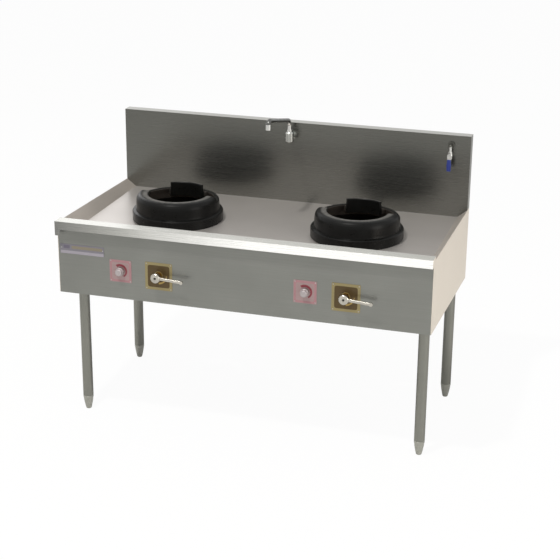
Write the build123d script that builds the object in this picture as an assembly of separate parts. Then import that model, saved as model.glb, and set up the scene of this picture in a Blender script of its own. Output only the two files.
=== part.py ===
from build123d import *
import math
import os

# Two-ring wok range. Millimetres. +Z up, front faces -Y, origin on the floor under the middle.

# ---- body ----------------------------------------------------------------------------------
overall_width = 1500.0
body_depth = 790.0
deck_height = 800.0
splash_height = 342.0
splash_depth = 45.0
sheet = 1.5
nose_rise = 62.0
nose_lip = 33.0
nose_reach = 25.0
nose_width = 53.0
nose_slope = 40.0
nose_return = 14.0
rim_width = 40.0
rim_rise_front = 51.0
rim_rise_back = 31.0
rim_flange = 15.0
panel_drop = 240.0
panel_tuck = 20.0
side_extra_drop = 38.0
fold = 18.0
side_fold = 14.0
stud_reach = 18.0
joint_gap = 0.3
spindle_gap = 0.05

# ---- frame and legs --------------------------------------------------------------------------
rail_size = 30.0
rail_wall = 2.0
rail_lift = 4.0
cross_width = 25.0
cross_height = 40.0
cross_spread = 125.0
leg_inset = 47.0
leg_front_set = 125.0
leg_back_set = 70.0
leg_radius = 21.2
leg_wall = 1.5
socket_height = 42.0
socket_wall = 3.0
socket_plate = 4.0
socket_plate_size = 60.0
socket_screw_radius = 4.0
socket_screw_length = 12.0
socket_screw_drop = 26.0
foot_height = 62.0
foot_tip_radius = 8.0
foot_stem_radius = 6.0
foot_stem_length = 60.0
foot_plug_length = 26.0

# ---- wok rings -------------------------------------------------------------------------------
ring_end_set = 375.0
ring_set = 348.0
skirt_radius = 184.0
skirt_height = 40.0
skirt_wall = 11.0
barrel_radius = 170.0
lip_outer = 149.0
lip_inner = 118.0
ring_height = 105.0
rear_height = 84.0
lip_arc = 180.0
ring_wall = 11.0
shield_rise = 13.0
shield_angle = 68.0
shield_thickness = 10.0
shield_foot = 60.0
lug_count = 4
lug_width = 14.0
lug_height = 14.0
lug_gap = 6.5

# ---- burner chambers and burners ---------------------------------------------------------------
chamber_radius = 148.0
chamber_wall = 2.0
chamber_flange = 18.0
chamber_flange_thick = 3.0
collar_height = 12.0
floor_hole = 96.0
lining_top_radius = 134.0
lining_base_radius = 100.0
lining_top_gap = 10.0
lining_gap = 1.0
head_lift = 18.0
head_radius = 56.0
head_height = 28.0
jet_radius = 6.0
jet_bore = 2.5
jet_height = 20.0
outer_jets = 12
inner_jets = 6
mixer_radius = 17.0
mixer_bore = 13.0
mixer_drop = 19.0
mixer_length = 195.0
bell_radius = 18.5
bell_length = 12.0
air_slot_start = 18.0
air_slot_length = 28.0
air_slot_height = 14.0
neck_radius = 20.0
arm_reach = 108.0
arm_width = 12.0
arm_thick = 8.0
injector_radius = 5.0
injector_reach = 10.0
injector_nut = 19.0
injector_nut_length = 20.0
injector_seat = 6.0
spider_thick = 4.0
spider_height = 6.0
pilot_height = 62.0
pilot_stem_radius = 4.0
pilot_cup_radius = 5.5
pilot_cup_length = 16.0
pilot_block = 13.0
pilot_inset = 8.0

# ---- controls --------------------------------------------------------------------------------
control_drop = 124.0
main_offset = 47.0
pilot_offset = -112.0
main_plate_size = 112.0
main_plate_drop = 5.0
pilot_plate_size = 92.0
plate_sheet = 1.2
main_spindle_radius = 6.0
main_hub_radius = 19.0
main_hub_length = 29.0
lever_reach = 112.0
lever_thick = 8.0
lever_height = 12.0
lever_droop = 4.0
pilot_spindle_radius = 4.0
pilot_knob_radius = 16.5
pilot_knob_length = 18.0
pilot_knob_gap = 4.0
flute_count = 8
flute_radius = 3.2
valve_neck_radius = 10.0
valve_body_radius = 17.0
valve_port_radius = 12.0
valve_port_up = 36.0
valve_port_down = 26.0
pilot_neck_radius = 7.0
pilot_body_radius = 11.0
pilot_body_length = 28.0
pilot_port_radius = 7.0
pilot_link_radius = 5.5
pilot_port_drop = 14.0
name_plate_width = 186.0
name_plate_height = 30.0
name_plate_edge = 9.0
name_plate_drop = 64.0
rivet_radius = 2.4

# ---- gas pipes -------------------------------------------------------------------------------
manifold_radius = 13.4
manifold_set = 36.0
manifold_lift = 59.0
manifold_side = 52.0
manifold_elbow = 45.0
manifold_overhang = 40.0
manifold_cap = 14.0
socket_step = 3.0
pilot_stub_radius = 9.0
pilot_stub_drop = 4.0
inlet_bore = 12.1
inlet_length = 18.0
inlet_socket_radius = 18.0
inlet_socket_length = 38.0
supply_radius = 9.0
pilot_tube_radius = 3.0

# ---- water -----------------------------------------------------------------------------------
tap_set = 46.0
tap_body_radius = 18.0
tap_body_height = 46.0
tap_body_base = 268.0
riser_radius = 8.5
riser_height = 47.0
spout_reach = 300.0
spout_rise = 68.0
nozzle_radius = 11.0
nozzle_length = 26.0
wall_flange_radius = 19.0
wall_flange_thick = 6.0
water_valve_side = 79.0
water_valve_set = 25.0
water_valve_lift = 272.0
water_body_radius = 9.5
water_body_height = 30.0
water_pipe_radius = 7.5
water_lever_length = 62.0
water_lever_width = 17.0
water_lever_thick = 4.0
water_inlet_bore = 9.3
water_inlet_length = 16.0
water_inlet_side = 90.0
water_inlet_drop = 95.0
drain_x = 340.0
drain_set = 100.0
drain_radius = 32.0
drain_depth = 30.0
drain_pipe_radius = 20.0
drain_pipe_length = 150.0
strainer_radius = 29.0
strainer_sheet = 2.0
strainer_holes = 10
slot_width = 120.0
slot_height = 8.0
slot_pitch = 26.0
slot_lift = 60.0
slot_count = 4

# ---- derived places ------------------------------------------------------------------------------
half_width = overall_width / 2
nose_y = -body_depth / 2
back_y = body_depth / 2
panel_y = nose_y + nose_reach
splash_y = back_y - splash_depth
nose_back_y = nose_y + nose_width
deck_front_y = nose_back_y + nose_slope
deck_under = deck_height - sheet
nose_z = deck_height + nose_rise
lip_z = nose_z - nose_lip
splash_z = deck_height + splash_height
rim_front_z = deck_height + rim_rise_front
rim_back_z = deck_height + rim_rise_back
rim_x = half_width - rim_width
panel_base = deck_height - panel_drop
side_back_base = panel_base - side_extra_drop
front_end_y = nose_y - stud_reach
back_end_y = back_y + stud_reach
ring_xs = (ring_end_set - half_width, half_width - ring_end_set)
ring_y = panel_y + ring_set
leg_x = half_width - leg_inset
leg_front_y = panel_y + leg_front_set
leg_back_y = back_y - leg_back_set
rail_base = panel_base + rail_lift
cross_base = rail_base + rail_size
chamber_base = cross_base + cross_height
mixer_z = chamber_base - mixer_drop
control_z = deck_height - control_drop
manifold_y = panel_y + manifold_set
manifold_z = control_z + manifold_lift
tap_y = splash_y - tap_set
water_valve_x = half_width - water_valve_side
drain_y = splash_y - drain_set
sides = ("left", "right")


# ---- shape helpers -------------------------------------------------------------------------------
def block(x0, x1, y0, y1, z0, z1):
    size = Box(abs(x1 - x0), abs(y1 - y0), abs(z1 - z0))
    return Pos((x0 + x1) / 2, (y0 + y1) / 2, (z0 + z1) / 2) * size


def rod_z(x, y, z0, z1, radius):
    return Pos(x, y, (z0 + z1) / 2) * Cylinder(radius, abs(z1 - z0))


def rod_y(x, z, y0, y1, radius):
    return Pos(x, (y0 + y1) / 2, z) * Rot(90, 0, 0) * Cylinder(radius, abs(y1 - y0))


def rod_x(y, z, x0, x1, radius):
    return Pos((x0 + x1) / 2, y, z) * Rot(0, 90, 0) * Cylinder(radius, abs(x1 - x0))


def cone_z(x, y, z0, z1, r0, r1):
    return Pos(x, y, (z0 + z1) / 2) * Cone(r0, r1, z1 - z0)


def hex_y(x, z, y0, y1, across):
    face = RegularPolygon(across / 2, 6, major_radius=False)
    prism = extrude(face, abs(y1 - y0))
    return Pos(x, max(y0, y1), z) * Rot(90, 0, 0) * prism


def turned(points, x, y, z):
    outline = Polyline(*[(r, 0, h) for r, h in points], close=True)
    return Pos(x, y, z) * revolve(make_face(outline), Axis.Z)


def plate_yz(points, x0, x1):
    outline = Polyline(*[(0, y, z) for y, z in points], close=True)
    return Pos(x0, 0, 0) * extrude(make_face(outline), x1 - x0, dir=(1, 0, 0))


def plate_xz(points, y0, y1):
    outline = Polyline(*[(x, 0, z) for x, z in points], close=True)
    return Pos(0, y0, 0) * extrude(make_face(outline), y1 - y0, dir=(0, 1, 0))


def pipe_run(points, radius, bend):
    path = FilletPolyline(*points, radius=bend)
    start = Plane(origin=path @ 0, z_dir=path % 0)
    return sweep(start * Circle(radius), path=path)


def save(name, shape):
    if isinstance(shape, (list, tuple)):
        shape = Compound(children=list(shape))
    export_step(shape, "parts/" + name + ".step")


# ---- sheet-metal body ------------------------------------------------------------------------------
def rim_height(y):
    # top edge of a side rim, falling evenly from the nosing to the splashback
    share = (y - nose_back_y) / (splash_y - nose_back_y)
    return rim_front_z + (rim_back_z - rim_front_z) * share


def rim_section(y, side):
    # sloping rim, then a flange turned down inside the side panel
    top = rim_height(y)
    edge = half_width
    inner = half_width - sheet
    points = [
        (rim_x, deck_height),
        (edge, top),
        (edge, top - sheet),
        (inner, top - sheet * 2),
        (inner, top - rim_flange),
        (inner - sheet, top - rim_flange),
        (inner - sheet, top - sheet * 3),
        (rim_x, deck_under),
    ]
    outline = Polyline(*[(side * x, y, z) for x, z in points], close=True)
    return make_face(outline)


def side_rim(side):
    return loft([rim_section(nose_back_y, side), rim_section(splash_y, side)], ruled=True)


def nosing():
    # front lip, flat top and the sloping inner face down to the deck, folded in one
    lip = [
        (nose_back_y, nose_z),
        (nose_y, nose_z),
        (nose_y, lip_z),
        (nose_y + nose_return, lip_z),
        (nose_y + nose_return, lip_z + sheet),
        (nose_y + sheet, lip_z + sheet),
        (nose_y + sheet, nose_z - sheet),
        (nose_back_y, nose_z - sheet),
    ]
    slope = [
        (deck_front_y, deck_height),
        (nose_back_y, nose_z),
        (nose_back_y - sheet, nose_z),
        (nose_back_y - sheet, nose_z - sheet),
        (deck_front_y - sheet, deck_under),
        (deck_front_y + sheet, deck_under),
        (deck_front_y + sheet, deck_height),
    ]
    inner = half_width - sheet * 2
    return plate_yz(lip, -half_width, half_width) + plate_yz(slope, -inner, inner)


def nosing_end(side):
    # doubled corner that closes the end of the lip
    points = [
        (nose_y, lip_z),
        (nose_y, nose_z),
        (nose_back_y, nose_z),
        (nose_back_y, lip_z),
    ]
    inner = side * (half_width - sheet * 2)
    return plate_yz(points, min(inner, side * half_width), max(inner, side * half_width))


def deck_pan():
    pan = block(-rim_x, rim_x, deck_front_y, splash_y, deck_under, deck_height)
    ledge_x = half_width - sheet * 2
    pan += block(-ledge_x, ledge_x, splash_y, back_y - sheet, deck_under, deck_height)
    pan += block(-ledge_x, ledge_x, back_y - sheet * 2, back_y - sheet, deck_under - fold, deck_under)
    pan += nosing()
    for side in (-1, 1):
        pan += side_rim(side)
        pan += nosing_end(side)
    for x in ring_xs:
        pan -= rod_z(x, ring_y, deck_under - 1, deck_height + 1, chamber_radius + joint_gap)
    pan -= rod_z(drain_x, drain_y, deck_under - 1, deck_height + 1, drain_radius)
    pipe_x = half_width - water_inlet_side
    pipe_y = splash_y + splash_depth / 2
    pan -= rod_z(pipe_x, pipe_y, deck_under - 1, deck_height + 1, water_pipe_radius + 1.5)
    return pan


def splashback():
    points = [
        (-rim_x, deck_height),
        (rim_x, deck_height),
        (half_width, rim_back_z),
        (half_width, splash_z),
        (-half_width, splash_z),
        (-half_width, rim_back_z),
    ]
    back = plate_xz(points, splash_y, splash_y + sheet)
    back += block(-half_width, half_width, splash_y, back_y, splash_z - sheet, splash_z)
    back += block(-half_width, half_width, back_y - sheet, back_y, splash_z - fold, splash_z)
    for side in (-1, 1):
        edge = side * half_width
        skin = side * (half_width - sheet)
        back -= block(edge, skin, splash_y - 1, splash_y + sheet + 1, deck_height - 1, rim_back_z)
        back += block(edge, skin, splash_y, back_y, rim_back_z, splash_z)
        back += block(edge, side * (half_width - fold), back_y - sheet, back_y, rim_back_z, splash_z)
    rib_reach = splash_depth - sheet
    for rib_x in (-half_width * 0.55, half_width * 0.55):
        rib = block(rib_x - fold, rib_x + fold, splash_y, splash_y + rib_reach, deck_height, splash_z)
        core_x = fold - sheet
        rib -= block(
            rib_x - core_x, rib_x + core_x,
            splash_y + sheet, splash_y + rib_reach - sheet,
            deck_height - 1, splash_z - sheet,
        )
        pipe_z = deck_height + water_valve_lift + water_body_height
        rib -= rod_x(splash_y + splash_depth / 2, pipe_z, rib_x - fold * 2, rib_x + fold * 2,
                     water_pipe_radius + 2)
        back += rib
    tap_z = deck_height + tap_body_base + tap_body_height / 2
    back -= rod_y(0, tap_z, splash_y - 1, splash_y + sheet + 1, water_pipe_radius + 1)
    valve_z = deck_height + water_valve_lift + water_body_height
    back -= rod_y(water_valve_x, valve_z, splash_y - 1, splash_y + sheet + 1, water_pipe_radius + 1)
    return back


def front_panel():
    top = lip_z + panel_tuck
    inner = half_width - sheet
    tuck_x = half_width - sheet * 2
    panel = block(-inner, inner, panel_y, panel_y + sheet, panel_base, lip_z)
    panel += block(-tuck_x, tuck_x, panel_y, panel_y + sheet, lip_z, top)
    panel += block(-inner, inner, panel_y, panel_y + fold, panel_base, panel_base + sheet)
    panel += block(-inner, inner, panel_y + fold - sheet, panel_y + fold, panel_base, panel_base + 10)
    panel += block(-tuck_x, tuck_x, panel_y, panel_y + fold, top - sheet, top)
    for x in ring_xs:
        panel -= rod_y(x + main_offset, control_z, panel_y - 1, panel_y + sheet + 1, valve_neck_radius)
        panel -= rod_y(x + pilot_offset, control_z, panel_y - 1, panel_y + sheet + 1, pilot_neck_radius)
    return panel


def side_panel(side):
    points = [
        (panel_y, panel_base),
        (back_y, side_back_base),
        (back_y, rim_back_z),
        (splash_y, rim_back_z),
        (nose_back_y, rim_front_z),
        (nose_back_y, lip_z),
        (panel_y, lip_z),
    ]
    edge = half_width
    skin = half_width - sheet
    inside = half_width - side_fold
    outer = plate_yz(points, skin, edge)
    # upper edge is trimmed to sit under the rim fold
    trim = [
        (nose_back_y, rim_front_z - sheet * 2),
        (splash_y, rim_back_z - sheet * 2),
        (splash_y, rim_back_z + nose_rise),
        (nose_back_y, rim_front_z + nose_rise),
    ]
    outer -= plate_yz(trim, skin - 1, edge + 1)
    flange_y = panel_y + fold
    slope = (panel_base - side_back_base) / (back_y - panel_y)
    flange_z = panel_base - slope * fold
    foot = [
        (flange_y, flange_z),
        (back_y, side_back_base),
        (back_y, side_back_base + sheet),
        (flange_y, flange_z + sheet),
    ]
    outer += plate_yz(foot, inside, edge)
    outer += block(inside, edge, back_y - sheet, back_y, side_back_base, deck_under - fold - 2)
    if side < 0:
        outer = mirror(outer, Plane.YZ)
    return outer


def back_panel():
    low = side_back_base + sheet * 2
    top = deck_under - fold
    outer_x = half_width - sheet * 2
    flange_x = half_width - fold
    face_y = back_y - sheet
    skin = block(-outer_x, outer_x, face_y - sheet, face_y, low, top)
    skin += block(-flange_x, flange_x, face_y - fold, face_y, low, low + sheet)
    gas_x = half_width - manifold_side
    skin -= rod_y(gas_x, manifold_z, face_y - fold, face_y + 1, inlet_socket_radius + 1)
    water_x = half_width - water_inlet_side
    water_z = deck_height - water_inlet_drop
    skin -= rod_y(water_x, water_z, face_y - fold, face_y + 1, inlet_socket_radius + 1)
    slot = block(-slot_width / 2, slot_width / 2, face_y - fold - 1, face_y + 1, 0, slot_height)
    for row in range(slot_count):
        for x in ring_xs:
            skin -= Pos(x, 0, low + slot_lift + row * slot_pitch) * slot
    return skin


# ---- frame and legs ------------------------------------------------------------------------------
def tube_x(y0, z0, x0, x1):
    outer = block(x0, x1, y0, y0 + rail_size, z0, z0 + rail_size)
    inner = block(
        x0 - 1, x1 + 1,
        y0 + rail_wall, y0 + rail_size - rail_wall,
        z0 + rail_wall, z0 + rail_size - rail_wall,
    )
    return outer - inner


def tube_y(x0, z0, y0, y1, width, height):
    outer = block(x0, x0 + width, y0, y1, z0, z0 + height)
    inner = block(
        x0 + rail_wall, x0 + width - rail_wall,
        y0 - 1, y1 + 1,
        z0 + rail_wall, z0 + height - rail_wall,
    )
    return outer - inner


def long_rail(y_middle):
    end = leg_x + rail_size / 2
    return tube_x(y_middle - rail_size / 2, rail_base, -end, end)


def short_rail(side):
    y0 = leg_front_y + rail_size / 2
    y1 = leg_back_y - rail_size / 2
    return tube_y(side * leg_x - rail_size / 2, rail_base, y0, y1, rail_size, rail_size)


def cross_rails():
    bars = []
    y0 = leg_front_y - rail_size / 2
    y1 = leg_back_y + rail_size / 2
    for x in ring_xs:
        for side in (-1, 1):
            x0 = x + side * cross_spread - cross_width / 2
            bars.append(tube_y(x0, cross_base, y0, y1, cross_width, cross_height))
    return bars


def leg_places():
    return [
        ("front_left", -leg_x, leg_front_y),
        ("front_right", leg_x, leg_front_y),
        ("rear_left", -leg_x, leg_back_y),
        ("rear_right", leg_x, leg_back_y),
    ]


def leg_sockets():
    cups = []
    top = rail_base
    wall = leg_radius
    screw_z = top - socket_screw_drop
    for name, x, y in leg_places():
        half = socket_plate_size / 2
        inward = -math.copysign(1, x)
        cup = block(x - half, x + half, y - half, y + half, top - socket_plate, top)
        cup += rod_z(x, y, top - socket_height, top, wall + socket_wall)
        cup -= rod_z(x, y, top - socket_height - 1, top - socket_plate, wall)
        cup -= rod_x(y, screw_z, x, x + inward * half, socket_screw_radius)
        cups.append(cup)
    return cups


def socket_screws():
    # one set screw on the inner side of each socket bears on its leg
    screws = []
    screw_z = rail_base - socket_screw_drop
    for name, x, y in leg_places():
        inward = -math.copysign(1, x)
        near = x + inward * leg_radius
        far = near + inward * socket_screw_length
        shank = rod_x(y, screw_z, x + inward * (leg_radius - 2), far, socket_screw_radius)
        shank -= rod_z(x, y, screw_z - 10, screw_z + 10, leg_radius)
        head = extrude(RegularPolygon(6.5, 6, major_radius=False), 5)
        head = Pos(far, y, screw_z) * Rot(0, 90 * inward, 0) * head
        screws.append(shank + head)
    return screws


def leg_tube(x, y):
    top = rail_base - socket_plate
    base = foot_height
    tube = rod_z(x, y, base, top, leg_radius)
    tube -= rod_z(x, y, base - 1, top + 1, leg_radius - leg_wall)
    plug_top = base + foot_plug_length
    tube += rod_z(x, y, base, plug_top, leg_radius - leg_wall / 2)
    tube -= rod_z(x, y, base - 1, plug_top + 1, foot_stem_radius + spindle_gap)
    return tube


def bullet_foot(x, y):
    collar = leg_radius + 1.5
    points = [
        (0, 0),
        (foot_tip_radius - 2, 0),
        (foot_tip_radius, 2),
        (leg_radius - 1, foot_height - 16),
        (collar, foot_height - 13),
        (collar, foot_height - joint_gap - 4),
        (collar - 2, foot_height - joint_gap),
        (foot_stem_radius, foot_height - joint_gap),
        (foot_stem_radius, foot_height + foot_stem_length),
        (0, foot_height + foot_stem_length),
    ]
    return turned(points, x, y, 0)


# ---- wok rings -----------------------------------------------------------------------------------
def ring_barrel():
    # wide skirt, then a barrel that stops at the lower height of the back
    inner = barrel_radius - ring_wall
    return [
        (skirt_radius - skirt_wall, 0),
        (skirt_radius - 2, 0),
        (skirt_radius, 3),
        (skirt_radius, skirt_height - 4),
        (skirt_radius - 2, skirt_height - 1),
        (skirt_radius - 5, skirt_height),
        (barrel_radius + 1, skirt_height + 2),
        (barrel_radius, skirt_height + 8),
        (barrel_radius - 2, rear_height - 4),
        (barrel_radius - 5, rear_height),
        (inner - 7, rear_height),
        (inner - 9, rear_height - 4),
        (inner - 3, rear_height * 0.72),
        (inner, skirt_height),
        (skirt_radius - skirt_wall, skirt_height - 9),
    ]


def ring_lip():
    # heavy rolled lip that a wok rests on, with a flat top
    h = ring_height
    inner = barrel_radius - ring_wall
    return [
        (inner - 5, rear_height * 0.78),
        (barrel_radius - 1, rear_height * 0.78),
        (barrel_radius - 2, rear_height - 4),
        (barrel_radius - 3.5, h - 15),
        (barrel_radius - 7, h - 8),
        (barrel_radius - 12, h - 3.5),
        (barrel_radius - 17, h - 1.2),
        (lip_outer - 2, h),
        (lip_inner + 8, h),
        (lip_inner + 3, h - 1.5),
        (lip_inner, h - 6),
        (lip_inner, h - 12),
        (lip_inner + 6, h - 17),
    ]


def ring_shield():
    # upright plate inside the back, webbed out to the barrel wall
    top = ring_height + shield_rise
    corner = 3
    back = lip_inner + shield_thickness
    return [
        (lip_inner, shield_foot),
        (barrel_radius - ring_wall - 6, shield_foot + 4),
        (barrel_radius - ring_wall - 6, rear_height - 2),
        (back + 6, rear_height - 2),
        (back + 1, rear_height + 5),
        (back, top - corner),
        (back - corner, top),
        (lip_inner + corner, top),
        (lip_inner, top - corner),
    ]


def arc_solid(points, middle, sweep_angle):
    face = Polyline(*[(r, 0, z) for r, z in points], close=True)
    wall = revolve(make_face(face), Axis.Z, revolution_arc=sweep_angle)
    return Rot(0, 0, middle - sweep_angle / 2) * wall


def wok_ring(x):
    base = deck_height + joint_gap
    ring = turned(ring_barrel(), x, ring_y, base)
    ring += Pos(x, ring_y, base) * arc_solid(ring_lip(), 270, lip_arc)
    ring += Pos(x, ring_y, base) * arc_solid(ring_shield(), 90, shield_angle)
    for index in range(lug_count):
        turn = 45 + index * 360 / lug_count
        inner = chamber_radius + lug_gap
        lug = block(inner, skirt_radius - skirt_wall + 1, -lug_width / 2, lug_width / 2, 0, lug_height)
        ring += Pos(x, ring_y, base) * Rot(0, 0, turn) * lug
    return ring


# ---- burner chambers and burners -----------------------------------------------------------------
def burner_chamber(x):
    # the wall stands up through the deck as a raised rim that keeps spills out
    height = deck_under - chamber_base
    outer = chamber_radius
    inner = chamber_radius - chamber_wall
    profile = [
        (floor_hole, 0),
        (outer, 0),
        (outer, height - chamber_flange_thick),
        (outer + chamber_flange, height - chamber_flange_thick),
        (outer + chamber_flange, height),
        (outer, height),
        (outer, height + sheet + collar_height),
        (inner, height + sheet + collar_height),
        (inner, chamber_wall),
        (floor_hole, chamber_wall),
    ]
    return turned(profile, x, ring_y, chamber_base)


def chamber_lining(x):
    height = deck_under - chamber_base - lining_top_gap
    outer = chamber_radius - chamber_wall - lining_gap
    profile = [
        (lining_base_radius, chamber_wall),
        (outer, chamber_wall),
        (outer, height),
        (lining_top_radius, height),
    ]
    return turned(profile, x, ring_y, chamber_base)


def burner(x):
    head_top = chamber_base + head_lift + head_height
    head = turned(
        [
            (0, -mixer_drop - neck_radius),
            (neck_radius - 4, -mixer_drop - neck_radius),
            (neck_radius, -mixer_drop - neck_radius + 4),
            (neck_radius, 8),
            (head_radius - 6, head_lift),
            (head_radius, head_lift + 6),
            (head_radius, head_lift + head_height - 4),
            (head_radius - 4, head_lift + head_height),
            (0, head_lift + head_height),
        ],
        x, ring_y, chamber_base,
    )
    head += rod_y(x, mixer_z, ring_y - mixer_length, ring_y, mixer_radius)
    for turn in (30, 150):
        arm = block(0, arm_reach, -arm_width / 2, arm_width / 2, -arm_thick, 0)
        head += Pos(x, ring_y, chamber_base) * Rot(0, 0, turn) * arm
    mouth_y = ring_y - mixer_length
    head += rod_y(x, mixer_z, mouth_y, mouth_y + bell_length, bell_radius)
    for count, radius in ((outer_jets, head_radius - 12), (inner_jets, head_radius * 0.4)):
        for index in range(count):
            angle = math.radians(index * 360 / count)
            px = x + radius * math.cos(angle)
            py = ring_y + radius * math.sin(angle)
            jet = cone_z(px, py, head_top - 1, head_top + jet_height, jet_radius, jet_radius * 0.75)
            head += jet
            head -= rod_z(px, py, head_top + 4, head_top + jet_height + 1, jet_bore)
    head -= rod_y(x, mixer_z, mouth_y - 1, ring_y - neck_radius, mixer_bore)
    for side in (-1, 1):
        vent_y = mouth_y + air_slot_start
        half = air_slot_height / 2
        vent = block(0, mixer_radius * 2, vent_y, vent_y + air_slot_length, -half, half)
        head -= Pos(x, 0, mixer_z) * Rot(0, 90 * side - 90, 0) * vent
    return head


def injector(x):
    mouth_y = ring_y - mixer_length
    nut_y = mouth_y - injector_seat
    low = mixer_z - spider_height / 2
    tip = rod_y(x, mixer_z, nut_y, mouth_y + injector_reach, injector_radius)
    tip += hex_y(x, mixer_z, nut_y - injector_nut_length, nut_y, injector_nut)
    spider_y = mouth_y - spider_thick
    tip += block(x - bell_radius, x + bell_radius, spider_y, mouth_y, low, low + spider_height)
    return tip


def pilot_place(x):
    turn = math.radians(228)
    radius = floor_hole - pilot_inset
    return x + radius * math.cos(turn), ring_y + radius * math.sin(turn)


def pilot_burner(x):
    px, py = pilot_place(x)
    half = pilot_block / 2
    base = mixer_z - half
    top = chamber_base + pilot_height
    stem = rod_z(px, py, base, top, pilot_stem_radius)
    stem += block(px - half, px + half, py - half, py + half, base, base + pilot_block)
    stem += rod_z(px, py, top - pilot_cup_length, top, pilot_cup_radius)
    # a short arm under the chamber floor carries the pilot
    stem += block(px - 4, px + 4, py - pilot_inset - 10, py + 3, chamber_base - 3, chamber_base)
    return stem


# ---- gas controls ----------------------------------------------------------------------------------
def main_valve(x):
    cx = x + main_offset
    back = panel_y + manifold_set + valve_body_radius
    body = rod_y(cx, control_z, panel_y + sheet + 4, back, valve_body_radius)
    low = control_z - valve_port_down
    body += rod_z(cx, manifold_y, low, control_z + valve_port_up, valve_port_radius)
    neck_front = panel_y - plate_sheet - 7
    body += rod_y(cx, control_z, neck_front, panel_y + sheet + 6, valve_neck_radius - 0.3)
    body += hex_y(cx, control_z, panel_y - plate_sheet - 5, panel_y - plate_sheet, 27)
    body += hex_y(cx, control_z, panel_y + sheet, panel_y + sheet + 6, 30)
    body -= rod_y(cx, control_z, neck_front - 1, back - 6, main_spindle_radius + spindle_gap)
    return body


def main_spindle(x):
    cx = x + main_offset
    back = panel_y + manifold_set + valve_body_radius - 6
    front = front_end_y + 4
    return rod_y(cx, control_z, front, back - joint_gap, main_spindle_radius)


def main_lever(x):
    cx = x + main_offset
    front = front_end_y
    back = front + main_hub_length
    hub = turned(
        [
            (main_spindle_radius, 0),
            (main_hub_radius - 2, 0),
            (main_hub_radius, 2),
            (main_hub_radius, main_hub_length * 0.5),
            (main_hub_radius - 5, main_hub_length * 0.62),
            (main_hub_radius - 6, main_hub_length),
            (main_spindle_radius, main_hub_length),
        ],
        0, 0, 0,
    )
    cap_radius = main_spindle_radius + 3
    hub += turned([(0, 0), (cap_radius, 0), (cap_radius, 4), (0, 4)], 0, 0, 0)
    hub = Pos(cx, front, control_z) * Rot(-90, 0, 0) * hub
    arm_y = front + main_hub_length * 0.3
    end_radius = lever_height * 0.62
    bar_length = lever_reach - end_radius
    bar = Box(bar_length, lever_thick, lever_height)
    bar = fillet(bar.edges().filter_by(Axis.X), 3.0)
    arm = Pos(bar_length / 2, 0, 0) * bar
    arm += Pos(bar_length, 0, 0) * Rot(90, 0, 0) * Cylinder(end_radius, lever_thick)
    arm -= Rot(90, 0, 0) * Cylinder(cap_radius, lever_thick + 2)
    hub += Pos(cx, arm_y, control_z) * Rot(0, lever_droop, 0) * arm
    return hub


def pilot_valve(x):
    cx = x + pilot_offset
    back = panel_y + pilot_body_length
    body = rod_y(cx, control_z, panel_y + sheet + 3, back, pilot_body_radius)
    top_y = manifold_y
    port_low = control_z - pilot_port_drop
    port_top = manifold_z - manifold_radius - pilot_stub_drop
    body += rod_z(cx, top_y, port_low, port_top, pilot_port_radius)
    body += rod_y(cx, control_z, back - 2, top_y, pilot_link_radius)
    neck_front = panel_y - plate_sheet - 4
    body += rod_y(cx, control_z, neck_front, panel_y + sheet + 4, pilot_neck_radius - 0.3)
    body += hex_y(cx, control_z, neck_front + 1, panel_y - plate_sheet, 18)
    body += hex_y(cx, control_z, panel_y + sheet, panel_y + sheet + 4, 20)
    body -= rod_y(cx, control_z, neck_front - 1, back - 8, pilot_spindle_radius + spindle_gap)
    return body


def pilot_knob(x):
    cx = x + pilot_offset
    rear = panel_y - plate_sheet - 4 - pilot_knob_gap
    front = rear - pilot_knob_length
    knob = turned(
        [
            (0, 0),
            (pilot_knob_radius - 5, 0),
            (pilot_knob_radius - 3, 2),
            (pilot_knob_radius - 2, pilot_knob_length * 0.6),
            (pilot_knob_radius, pilot_knob_length * 0.72),
            (pilot_knob_radius, pilot_knob_length),
            (0, pilot_knob_length),
        ],
        0, 0, 0,
    )
    flute_end = pilot_knob_length * 0.66
    for index in range(flute_count):
        angle = math.radians((index + 0.5) * 360 / flute_count)
        flute_x = (pilot_knob_radius + 0.2) * math.cos(angle)
        flute_y = (pilot_knob_radius + 0.2) * math.sin(angle)
        knob -= rod_z(flute_x, flute_y, -1, flute_end, flute_radius)
    knob = Pos(cx, front, control_z) * Rot(-90, 0, 0) * knob
    stem_back = panel_y + pilot_body_length - 8 - joint_gap
    knob += rod_y(cx, control_z, rear - 2, stem_back, pilot_spindle_radius)
    return knob


def square_plate(cx, size, hole, drop):
    half = size / 2
    middle = control_z - drop
    plate = block(cx - half, cx + half, panel_y - plate_sheet, panel_y, middle - half, middle + half)
    plate = fillet(plate.edges().filter_by(Axis.Y), 4.0)
    plate -= rod_y(cx, control_z, panel_y - 3, panel_y + 1, hole)
    for dx in (-1, 1):
        for dz in (-1, 1):
            px = cx + dx * (half - 6)
            pz = middle + dz * (half - 6)
            plate -= rod_y(px, pz, panel_y - 3, panel_y + 1, rivet_radius * 0.6)
    return plate


def name_plate_spot():
    x0 = -half_width + name_plate_edge
    z1 = lip_z - name_plate_drop
    return x0, x0 + name_plate_width, z1 - name_plate_height, z1


def name_plate():
    x0, x1, z0, z1 = name_plate_spot()
    plate = block(x0, x1, panel_y - plate_sheet, panel_y, z0, z1)
    return fillet(plate.edges().filter_by(Axis.Y), 3.0)


def rivet(x, z, face_y):
    dome = turned([(0, 0), (rivet_radius, 0), (rivet_radius * 0.8, 0.9), (0, 1.4)], 0, 0, 0)
    return Pos(x, face_y, z) * Rot(90, 0, 0) * dome


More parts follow.
